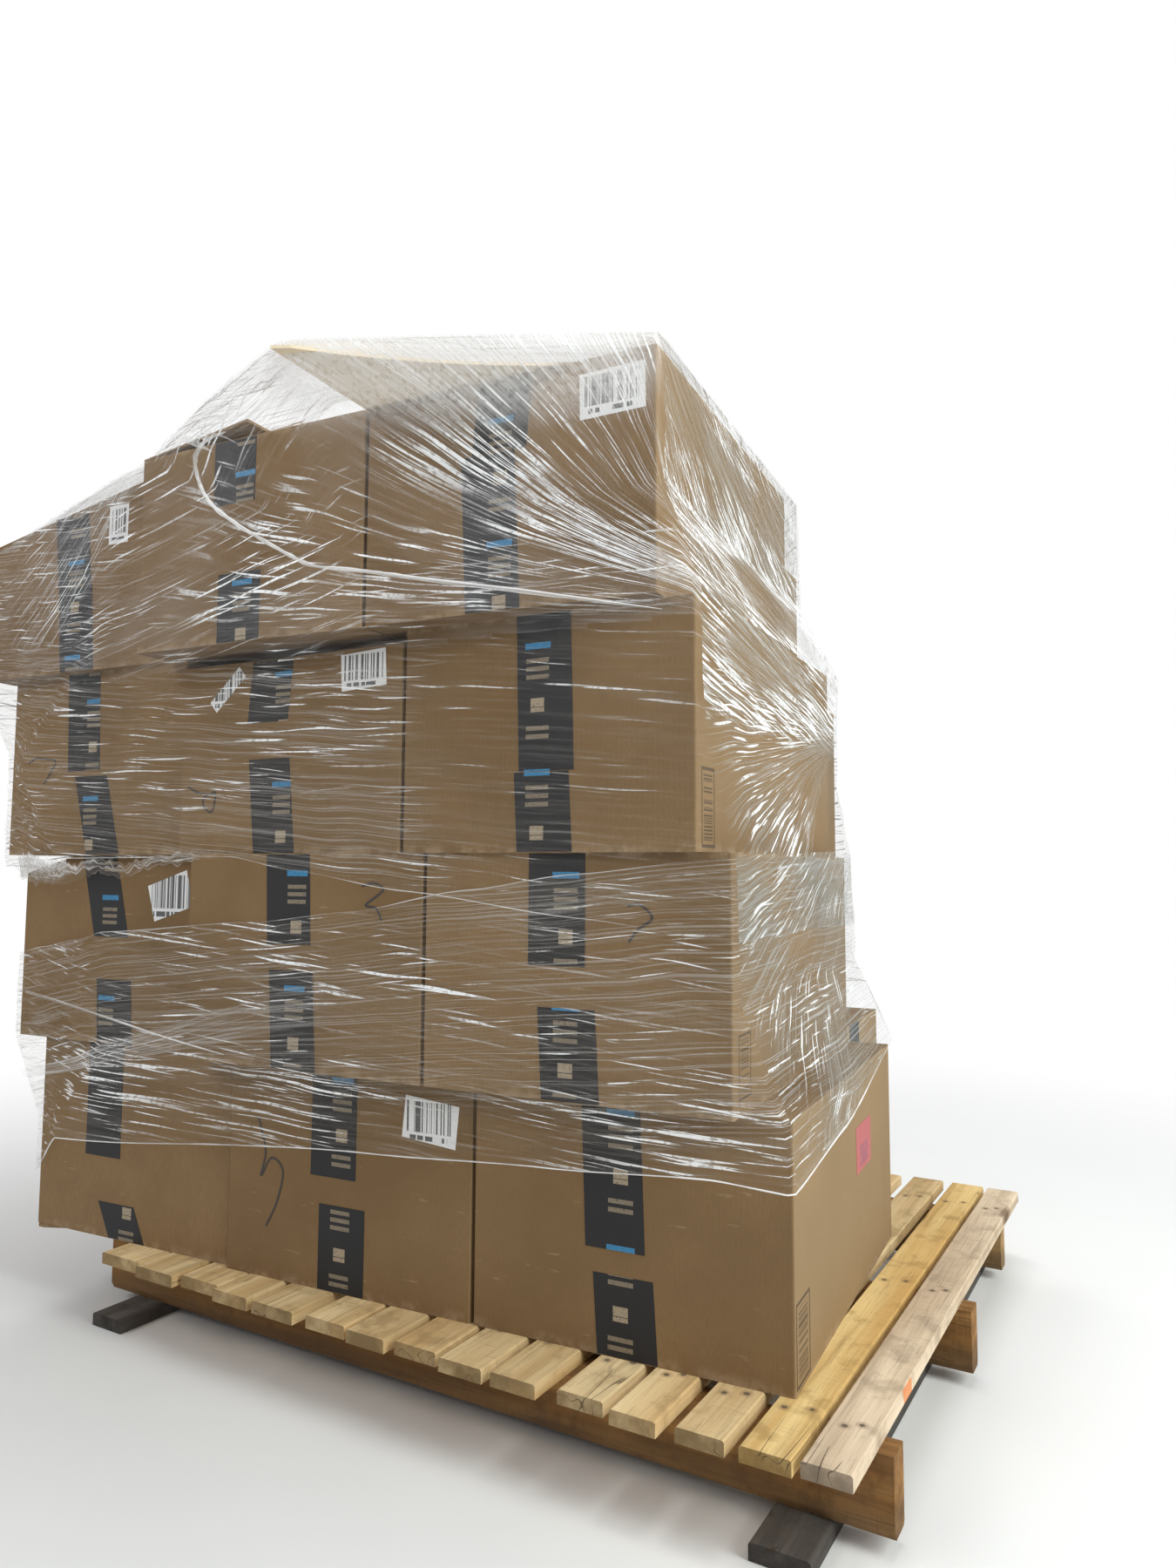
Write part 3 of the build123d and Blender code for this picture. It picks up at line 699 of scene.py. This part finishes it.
def smooth_path(points, x):
    """Point at a share of a smooth line through some points."""
    x = min(max(x, 0.0), 0.99999) * (len(points) - 1)
    index = int(x)
    x -= index
    before, one, two, after = (Vector(points[min(max(index + step, 0), len(points) - 1)])
                               for step in (-1, 0, 1, 2))
    return 0.5 * ((2 * one) + (two - before) * x + (2 * before - 5 * one + 4 * two - after) * x * x
                  + (3 * one - before - 3 * two + after) * x ** 3)


def band(name, tier, points, width, seed, pinch, crumple):
    """A strip of gathered film laid over the turns, along points on a tier's front."""
    def place(x, y):
        middle = smooth_path(points, x)
        ahead = smooth_path(points, x + 0.01) - smooth_path(points, x - 0.01)
        square = Vector((-ahead.y, ahead.x)).normalized()
        share = pinch[0] + (pinch[1] - pinch[0]) * x
        wander = 0.06 * noise.noise(Vector((x * 4, seed, 0)))
        spot = middle + square * width * share * (y - 0.5 + wander)
        fold = 0.0022 * noise.noise(Vector((x * 6, y * 9 + seed, 0.5)))
        fold += crumple * noise.noise(Vector((x * 40, y * 2, seed)))
        spot.y += crumple * 1.5 * noise.noise(Vector((x * 30, seed, y)))
        return seen_on_film(tier, spot.x, spot.y, 0.004 + abs(fold) + 0.002 * math.sin(y * math.pi))

    length = sum((Vector(one) - Vector(two)).length for one, two in zip(points, points[1:]))
    return mapped_grid(name, 160, 8, place, lambda x, y: (x * length, y * width))


def rope(name, path, radius, seed):
    """Film rolled into a cord, uneven and a little flattened, along path(x)."""
    length = sum((path(step / 40) - path((step + 1) / 40)).length for step in range(40))

    def place(x, y):
        middle, ahead = path(x), (path(min(x + 0.01, 1.0)) - path(max(x - 0.01, 0.0))).normalized()
        out = bpy.context.scene.camera.location - middle
        out = (out - ahead * out.dot(ahead)).normalized()
        over = ahead.cross(out)
        swell = 1 + 0.45 * noise.noise(Vector((x * length * 28, seed, 0)))
        swell *= 1 + 0.30 * noise.noise(Vector((x * length * 60, seed, y * 4)))
        swell *= min(1.0, 0.15 + 12 * min(x, 1 - x))
        turn = 2 * math.pi * y
        return middle + radius * swell * (over * math.cos(turn) + out * 0.7 * math.sin(turn))

    return mapped_grid(name, 260, 8, place, lambda x, y: (x * length, y * radius * 6), closed=True)


# Finish of the stretch film, in metres round from the left front corner and metres up

# An area of the sheet and how softly it ends
Area = namedtuple("Area", "left right low high soft")

# Fine lines of painted glint over a faint veil, along one pull: their angle in degrees, how sparse and how
# strong they are, and where
Layer = namedtuple("Layer", "angle cut weight area")

# Lines of painted glint over a faint veil that run together in one place: the place, their middle angle and
# half spread in degrees, the nearest and farthest that they show, and how sparse and how strong they are
Fan = namedtuple("Fan", "x y angle half near far cut weight")

# Where many turns make it milky, and how much
Frost = namedtuple("Frost", "area strength")

# A region of the upper sheet, up to an end and above a foot, and its finish
Region = namedtuple("Region", "name end foot haze veil milky layers fans frost", defaults=((), None))

RIGHT_CORNER, BACK_CORNER, FAR_END = SIDE_SHARES[2] * ROUND, SIDE_SHARES[3] * ROUND, ROUND + 0.5
# Milky colours of the film; the olive one, on the right side, is painted shade with a painted reflection of
# green surroundings
PLAIN, OLIVE_SHADE_REFLECTION, WHITISH = (0.44, 0.40, 0.34), (0.27, 0.285, 0.25), (0.86, 0.84, 0.82)
FILM_WHITE = (0.95, 0.96, 0.96)


def all_round(low, high, soft):
    return Area(-1, FAR_END, low, high, soft)


def right_side(low, high, soft):
    return Area(RIGHT_CORNER - 0.05, BACK_CORNER + 0.05, low, high, soft)


def film(name, seed, haze, veil, layers, fans=(), frost=None, milky=(0.56, 0.54, 0.50)):
    """Clear stretch film, with painted glints in fine bright lines along each pull, over a faint veil of
    them.
    """
    paint = new_finish(name)
    sheet = paint.place("UV")
    round_way, up, _ = paint.axes(sheet)
    shifted = paint.turned(sheet, move=(seed * 3.1, seed * 1.7, seed))
    cloud = paint.grain(shifted, 5.0, 2, 0.5)
    sway = cloud - 0.5
    fleck = paint.grain(shifted, 150, 1, 0.6).fade(0.35, 0.50) * 0.45 + 0.55
    patch = paint.grain(paint.turned(shifted, scale=(4, 11, 1)), 1.0, 1, 0.5).fade(0.38, 0.60) * 0.85 + 0.15

    def within(area):
        left, right, low, high, soft = area
        return (round_way.fade(left - soft, left + soft) * round_way.fade(right + soft, right - soft)
                * up.fade(low - soft, low + soft) * up.fade(high + soft, high - soft))

    def lines(along, across, shift, cut, weight, mask, brushed):
        """Painted glints and their fainter veil of lines, which is brushed on finer in the first of each
        kind.
        """
        line = paint.grain(paint.joined(along * 9, across * 250, seed + shift * 1.3), 1.0, 1.5, 0.6)
        if brushed:
            finer = paint.grain(paint.joined(along * 2.2, across * 400, seed + shift), 1.0, 2, 0.75)
            faint = finer.fade(0.50, 0.62)
        else:
            faint = line.fade(cut - 0.24, cut + 0.10) * 0.35
        return line.fade(cut, cut + 0.06) * weight * mask, faint * mask

    drawn = []
    for number, layer in enumerate(layers):
        turn = math.radians(layer.angle)
        along = round_way * math.cos(turn) + up * math.sin(turn)
        across = up * math.cos(turn) - round_way * math.sin(turn) + sway * 0.022
        drawn.append(lines(along, across, number, layer.cut, layer.weight, within(layer.area), number == 0))
    for number, fan in enumerate(fans):
        turn, spread = math.radians(fan.angle), math.radians(fan.half)
        out, rise = round_way - fan.x, up - fan.y
        ahead = out * math.cos(turn) + rise * math.sin(turn)
        aside = rise * math.cos(turn) - out * math.sin(turn)
        reach = distance(ahead, aside)
        bearing = aside.angle_over(ahead) + sway * 0.05
        mask = (abs(bearing).fade(spread, spread * 0.7) * reach.fade(fan.near * 0.4, fan.near)
                * reach.fade(fan.far, fan.far * 0.7))
        drawn.append(lines(reach, bearing * 0.42, 20 + number, fan.cut, fan.weight, mask, number == 0))
    painted_glint, faint = drawn[0]
    for line, veiled in drawn[1:]:
        painted_glint, faint = painted_glint.at_least(line), faint.at_least(veiled)
    painted_glint = painted_glint * fleck * patch
    milk = cloud.fade(0.30, 0.70) * haze
    if frost:
        milk = milk + within(frost.area) * (patch * 0.25 + faint * 0.45 + fleck * 0.45) * frost.strength
    # painted highlight: the glints make the film nearly opaque and white
    alpha = (milk + faint * veil + painted_glint * 1.05).held()
    colour = paint.tint((painted_glint * 1.6 + faint * 0.25).held(), milky, FILM_WHITE)
    return paint.finish(base_color=colour, roughness=0.20, alpha=alpha, ior=1.45, specular_ior_level=0.5,
                        normal=paint.relief(faint + fleck * 0.3, 0.5, 0.003))


def bunched_film(name, seed, alpha_low, alpha_high, fineness=260, dim=(0.70, 0.69, 0.67), ends=None):
    """Film drawn together into strands, nearly white where the turns lie over each other, with painted
    highlight along the strands.

    Ends are where it is fullest and where it has faded out, in metres along it.
    """
    paint = new_finish(name)
    sheet = paint.place("UV")
    shifted = paint.turned(sheet, move=(seed * 2.3, seed * 0.9, 0))
    strand = paint.grain(paint.turned(shifted, scale=(2.5, fineness, 1)), 1.0, 3, 0.6, 0.1)
    break_up = paint.grain(paint.turned(shifted, scale=(11, 60, 1)), 1.0, 3, 0.6)
    line = (strand.fade(0.44, 0.62) * 0.8 + break_up.fade(0.45, 0.7) * 0.4).held()
    alpha = alpha_low + line * (alpha_high - alpha_low)
    if ends:
        along = paint.axes(sheet)[0]
        alpha = alpha * along.fade(ends[1], ends[0]) * along.fade(-0.01, 0.06)
    # white strands: partly film lying thick, partly painted highlight
    colour = paint.tint(line, dim, (0.98, 0.98, 0.98))
    return paint.finish(base_color=colour, roughness=0.18 + break_up * 0.12, ior=1.45, specular_ior_level=0.8,
                        alpha=alpha.held(), normal=paint.relief(strand + break_up, 0.8, 0.003))


BEHIND_LINES = (Layer(3, 0.60, 1.0, Area(BACK_CORNER - 0.05, FAR_END, 0, 2, 0.02)),
                Layer(-9, 0.61, 0.9, Area(BACK_CORNER - 0.05, FAR_END, 0, 2, 0.02)))
UPPER_REGIONS = (
    Region("film_front_top", RIGHT_CORNER, 0.955, 0.07, 0.22, WHITISH,
           (Layer(-6, 0.61, 1.0, Area(-1, 0.42, 0.90, 1.30, 0.05)),
            Layer(15, 0.62, 1.0, Area(0.36, 0.84, 0.98, 1.36, 0.05)),
            Layer(-3, 0.64, 0.8, Area(-1, RIGHT_CORNER, 0.80, 1.06, 0.03))),
           (Fan(1.290, 0.945, 143, 11, 0.03, 0.50, 0.50, 1.2),
            Fan(1.300, 0.960, 128, 28, 0.05, 0.62, 0.585, 1.0),
            Fan(1.290, 0.945, 164, 11, 0.05, 0.90, 0.585, 0.9),
            Fan(0.50, 1.33, -150, 26, 0.06, 0.52, 0.575, 0.9)),
           Frost(Area(0.82, RIGHT_CORNER - 0.01, 1.222, 1.6, 0.03), 0.85)),
    Region("film_front_middle", RIGHT_CORNER, 0.0, 0.03, 0.30, PLAIN,
           (Layer(-7, 0.64, 1.0, Area(-1, 0.95, 0.60, 1.02, 0.03)),
            Layer(-2, 0.64, 0.9, Area(-1, 0.95, 0.50, 1.02, 0.03)),
            Layer(-8, 0.655, 0.7, Area(0.85, RIGHT_CORNER, 0.50, 1.02, 0.05)))),
    Region("film_side_top", BACK_CORNER, 0.985, 0.19, 0.32, OLIVE_SHADE_REFLECTION,
           (Layer(-33, 0.58, 1.0, right_side(1.10, 1.50, 0.04)),
            Layer(-13, 0.52, 1.0, right_side(0.90, 1.12, 0.02))),
           (Fan(1.17, 1.33, -42, 40, 0.03, 0.80, 0.56, 1.0),)),
    Region("film_side_middle", BACK_CORNER, 0.695, 0.12, 0.48, OLIVE_SHADE_REFLECTION,
           (Layer(-9, 0.51, 1.0, right_side(0.86, 1.10, 0.02)),),
           (Fan(1.83, 0.890, 188, 30, 0.03, 0.66, 0.56, 1.0),)),
    Region("film_side_low", BACK_CORNER, 0.0, 0.28, 0.45, OLIVE_SHADE_REFLECTION,
           (Layer(4, 0.64, 0.6, right_side(0.30, 0.75, 0.03)),),
           (Fan(1.88, 0.800, 212, 24, 0.05, 0.80, 0.58, 0.8),)),
    Region("film_behind", FAR_END, 0.0, 0.10, 0.15, PLAIN, BEHIND_LINES),
)

# Edges of the turns: the foot of the lower ones, and the foot and head of the bare band on the second tier
BAND_BASE = DECK_TOP + CARTON_HEIGHT
LOWER_FOOT = edge_line(
    DECK_TOP, (0.0, 0.082), (0.10, 0.141), (0.19, 0.191), (0.235, 0.208), (0.27, 0.222), (0.285, 0.217),
    (0.34, 0.236), (0.415, 0.298), (0.512, 0.345), (0.774, 0.220), (1.0, 0.082))
BAND_FOOT = edge_line(
    BAND_BASE, (0.0, 0.132), (0.029, 0.145), (0.060, 0.159), (0.093, 0.174), (0.156, 0.197), (0.188, 0.214),
    (0.224, 0.245), (0.251, 0.265), (0.285, 0.284), (0.40, 0.30), (0.6, 0.25), (1.0, 0.132))
BAND_HEAD = edge_line(
    BAND_BASE, (0.0, 0.270), (0.008, 0.284), (0.027, 0.258), (0.045, 0.255), (0.058, 0.272), (0.070, 0.262),
    (0.092, 0.285), (0.158, 0.287), (0.175, 0.269), (0.206, 0.243), (0.251, 0.214), (0.285, 0.192),
    (0.6, 0.18), (1.0, 0.270))


def top_edge(share):
    """Up to the top, and lower over the slumped left front corner."""
    return ROOF_HEIGHT - slump(film_spot(share, ROOF_HEIGHT)[0])


def way_round(face):
    """Metres round of a face of a wrapped sheet."""
    return face.index % SHEET_COLUMNS / SHEET_COLUMNS * ROUND


def make_turns():
    """The lower and upper turns, each one sheet with its finish set by region."""
    lower = wrap_sheet("film_lower_turns", LOWER_FOOT, BAND_FOOT, 0.0, rows=44, seed=2)
    dress(lower, film("film_low", 2, 0.04, 0.34, (
        Layer(7, 0.64, 0.9, all_round(0.38, 0.72, 0.04)),
        Layer(-6, 0.63, 0.9, Area(0.0, RIGHT_CORNER, 0.28, 0.75, 0.04)),
        Layer(-2, 0.60, 0.8, all_round(0.16, 0.42, 0.03))), milky=PLAIN))
    lower.data.materials.append(film("film_low_side", 3, 0.22, 0.38, (
        Layer(2, 0.61, 0.7, Area(RIGHT_CORNER - 0.05, FAR_END, 0.20, 0.60, 0.03)),), (
            Fan(1.88, 0.800, 212, 24, 0.05, 0.80, 0.60, 0.8),), milky=OLIVE_SHADE_REFLECTION))
    for face in lower.data.polygons:
        face.material_index = int(RIGHT_CORNER < way_round(face) < BACK_CORNER)

    upper = wrap_sheet("film_upper_turns", BAND_HEAD, top_edge, 0.0010, rows=120, seed=5, ragged=0.004)
    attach(upper, "root")
    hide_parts("stretch_film")
    for number, region in enumerate(UPPER_REGIONS):
        upper.data.materials.append(film(region.name, number + 4, region.haze, region.veil, region.layers,
                                         region.fans, region.frost, region.milky))
    for face in upper.data.polygons:
        face.material_index = next(number for number, region in enumerate(UPPER_REGIONS)
                                   if way_round(face) <= region.end and face.center.z >= region.foot)
    return lower, upper


def make_roof():
    """The film turned in over the top, up over the flap and down over the slumped corner."""
    centre = tier_place(TOP_TIER) @ Vector((-0.56, 0.46, CARTON_HEIGHT))

    def place(x, y):
        edge, _ = film_spot(x, top_edge(x))
        depth = 0.15 + 0.05 * noise.noise(Vector((x * 14, 0.2, 0)))
        point = edge + (centre - edge).to_2d().normalized().to_3d() * depth * y
        ripple = 0.004 * noise.noise(Vector((x * 40, y * 3, 1.1)))
        point.z = ROOF_HEIGHT - slump(point) + ripple * math.sin(y * math.pi) - 0.008 * y
        return point

    roof = mapped_grid("film_roof", SHEET_COLUMNS, 12, place, lambda x, y: (x * ROUND, 2 + y * 0.2))
    lines = (Layer(2, 0.57, 1.0, all_round(0, 3, 0.1)), Layer(28, 0.59, 0.9, all_round(0, 3, 0.1)))
    return dress(roof, film("film_over_top", 12, 0.30, 0.35, lines))


# The rolled loop on the top tier's front, along from its right corner and up from its foot
LOOP = ((-0.655, 0.305), (-0.690, 0.300), (-0.712, 0.280), (-0.706, 0.245), (-0.680, 0.205), (-0.630, 0.168),
        (-0.584, 0.140), (-0.535, 0.112), (-0.491, 0.091), (-0.405, 0.073), (-0.323, 0.054), (-0.160, 0.018),
        (0.006, -0.020))

# Gathers on the second tier's front, in the same way
WEDGE = ((-1.165, -0.050), (-1.05, -0.028), (-0.977, -0.004), (-0.865, 0.022), (-0.753, 0.050),
         (-0.642, 0.077), (-0.462, 0.119))
STRAND = ((-1.177, 0.078), (-1.058, 0.061), (-0.943, 0.042), (-0.844, 0.026), (-0.74, 0.012))
TORN_EDGE = ((-1.186, 0.274), (-1.142, 0.262), (-1.071, 0.262), (-1.014, 0.274), (-0.956, 0.266),
             (-0.893, 0.279), (-0.800, 0.287))
TORN_BUNCH = ((-1.190, 0.268), (-1.165, 0.274), (-1.13, 0.262), (-1.08, 0.272))
GATHER_TIER = 1
CRUMPLE = 0.006


def edge_path(edge, start, end):
    """The way along an edge of the film between two shares of the way round."""
    def path(x):
        share = start + x * (end - start)
        point, face = film_spot(share, edge(share))
        return point + face * 0.003
    return path


def loop_path(x):
    return seen_on_film(TOP_TIER, *smooth_path(LOOP, x), 0.004)


def make_gathers():
    """Rolled edges, and the bunches that the pull has drawn together, by name."""
    white = bunched_film("film_bunched", 1, 0.25, 0.90)
    torn = bunched_film("film_torn", 6, 0.15, 0.85, 90, dim=(0.26, 0.205, 0.145))
    faint = bunched_film("film_gathered", 3, 0.10, 0.55, 320, dim=(0.50, 0.46, 0.41), ends=(0.22, 0.72))
    edge = bunched_film("film_edge", 8, 0.0, 0.55, 120)
    gathers = {}
    for name, path, radius, seed, material in (
            ("film_edge_low", edge_path(LOWER_FOOT, 0.0, 0.42), 0.0010, 1, white),
            ("film_edge_low_behind", edge_path(LOWER_FOOT, 0.42, 1.0), 0.0010, 2, white),
            ("film_edge_band_head", edge_path(BAND_HEAD, 0.0, 0.285), 0.0007, 3, edge),
            ("film_edge_band_foot", edge_path(BAND_FOOT, 0.0, 0.285), 0.0006, 4, edge),
            ("film_loop", loop_path, 0.0028, 5, white)):
        gathers[name] = dress(rope(name, path, radius, seed), material)
    for name, points, width, seed, pinch, crumple, material in (
            ("film_wedge_left", WEDGE, 0.050, 4, (0.25, 1.2), 0.0, faint),
            ("film_strand", STRAND, 0.005, 5, (1.0, 0.3), 0.0, white),
            ("film_torn_edge", TORN_EDGE, 0.026, 6, (1.4, 0.4), CRUMPLE, torn),
            ("film_torn_bunch", TORN_BUNCH, 0.044, 7, (0.9, 0.6), CRUMPLE, torn)):
        gathers[name] = dress(band(name, GATHER_TIER, points, width, seed, pinch, crumple), material)
    return gathers


def make_film():
    lower, upper = make_turns()
    roof = make_roof()
    gathers = make_gathers()

    # clear film throws no shadow to speak of
    for piece in (lower, upper, roof, *gathers.values()):
        piece.visible_shadow = False
    low_edges = [piece for name, piece in gathers.items() if name.startswith("film_edge_low")]
    [piece for piece in gathers.values() if piece not in low_edges]


# Pen strokes: tier, and points along from its right corner and up from its foot
PEN_WIDTH, PEN_LIFT = 0.0030, 0.0006
PEN_STROKES = (
    (1, ((-0.507, 0.248), (-0.486, 0.252), (-0.472, 0.244), (-0.486, 0.233), (-0.500, 0.223),
         (-0.483, 0.219), (-0.474, 0.204))),
    (1, ((-0.126, 0.229), (-0.110, 0.231), (-0.095, 0.216), (-0.112, 0.203), (-0.124, 0.188))),
    (2, ((-1.185, 0.150), (-1.168, 0.158), (-1.152, 0.157), (-1.118, 0.152), (-1.124, 0.138),
         (-1.144, 0.115))),
    (2, ((-0.800, 0.098), (-0.778, 0.089), (-0.757, 0.086), (-0.744, 0.088), (-0.750, 0.062),
         (-0.763, 0.065), (-0.769, 0.077), (-0.760, 0.087))),
    (0, ((-0.764, 0.214), (-0.749, 0.171), (-0.756, 0.135), (-0.738, 0.161), (-0.717, 0.146),
         (-0.726, 0.104), (-0.745, 0.068))),
)


def make_pen_marks():
    """Quick pen strokes on some of the front faces."""
    strokes = bmesh.new()
    for tier, points in PEN_STROKES:
        on_left_carton = points[0][0] < -2 * COLUMN_PITCH + 0.01
        face_y = (TIER_SETBACK[tier] if on_left_carton else 0.0) - PEN_LIFT
        made = bmesh.ops.create_grid(strokes, x_segments=60, y_segments=1, size=0.5)
        for vertex in made["verts"]:
            x, y = vertex.co.x + 0.5, vertex.co.y
            spot = smooth_path(points, x)
            ahead = (smooth_path(points, x + 0.01) - smooth_path(points, x - 0.01)).normalized()
            spot += Vector((-ahead.y, ahead.x)) * y * PEN_WIDTH
            vertex.co = tier_place(tier) @ Vector((spot.x, face_y, spot.y))
    paint = new_finish("pen_ink")
    worn = paint.grain(paint.place(), 240, 2, 0.6)
    ink = paint.tint(worn, (0.020, 0.018, 0.018), (0.050, 0.040, 0.032))
    dress(as_piece("pen_strokes", strokes), paint.finish(base_color=ink, roughness=0.6))


def make_floor():
    """A pale floor that holds the load's shadow and goes over into plain white."""
    shape = bmesh.new()
    bmesh.ops.create_grid(shape, x_segments=1, y_segments=1, size=14)
    floor = as_piece("floor", shape)
    floor.location.z = cad_box[0][2] - 0.0005
    paint = new_finish("floor")
    speck = paint.grain(paint.place(), 4.0, 3, 0.5)
    x, y, _ = paint.axes(paint.place())
    seen = paint.wire(paint.node("ShaderNodeLightPath"), "Is Camera Ray")
    grey = paint.tint(speck, (0.80, 0.80, 0.79), (0.84, 0.84, 0.83))
    ground = paint.node("ShaderNodeBsdfDiffuse", {}, {0: grey})
    white = paint.node("ShaderNodeEmission", {}, {0: (1, 1, 1, 1), 1: 1.0})
    coat(floor, paint.close(paint.blend(seen * distance(x, y).fade(0.9, 2.6), ground, white)))


def make_room():
    """White for the camera and in gloss, and a dimmer light on the load."""
    room = Finish(bpy.data.worlds.new("room"))
    rays = room.node("ShaderNodeLightPath")
    mirrored = room.wire(rays, "Is Glossy Ray").at_least(room.wire(rays, "Is Transmission Ray"))
    seen = room.wire(rays, "Is Camera Ray").at_least(mirrored)
    dim = room.node("ShaderNodeBackground", {}, {0: (0.94, 0.96, 1.0, 1), 1: 0.42})
    white = room.node("ShaderNodeBackground", {}, {0: (1, 1, 1, 1), 1: 1.0})
    bpy.context.scene.world = room.close(room.blend(seen, dim, white), "ShaderNodeOutputWorld")


bpy.context.scene.view_settings.view_transform = "Standard"
make_camera()
area_light("key", (-1.6, -3.4, 3.2), LOAD_MIDDLE, (2.2, 1.4), 48)
area_light("top", (0.2, 0.2, 3.6), (0.1, 0, 1.0), (2.6, 0.5), 45)
area_light("right", (3.4, -0.6, 2.3), LOAD_MIDDLE, (1.4, 2.2), 108, (0.95, 1.0, 0.98))
area_light("back", (-2.4, 3.0, 2.4), LOAD_MIDDLE, (2.0, 2.0), 45)
make_floor()
make_room()
dress_cad()
make_pen_marks()
make_film()
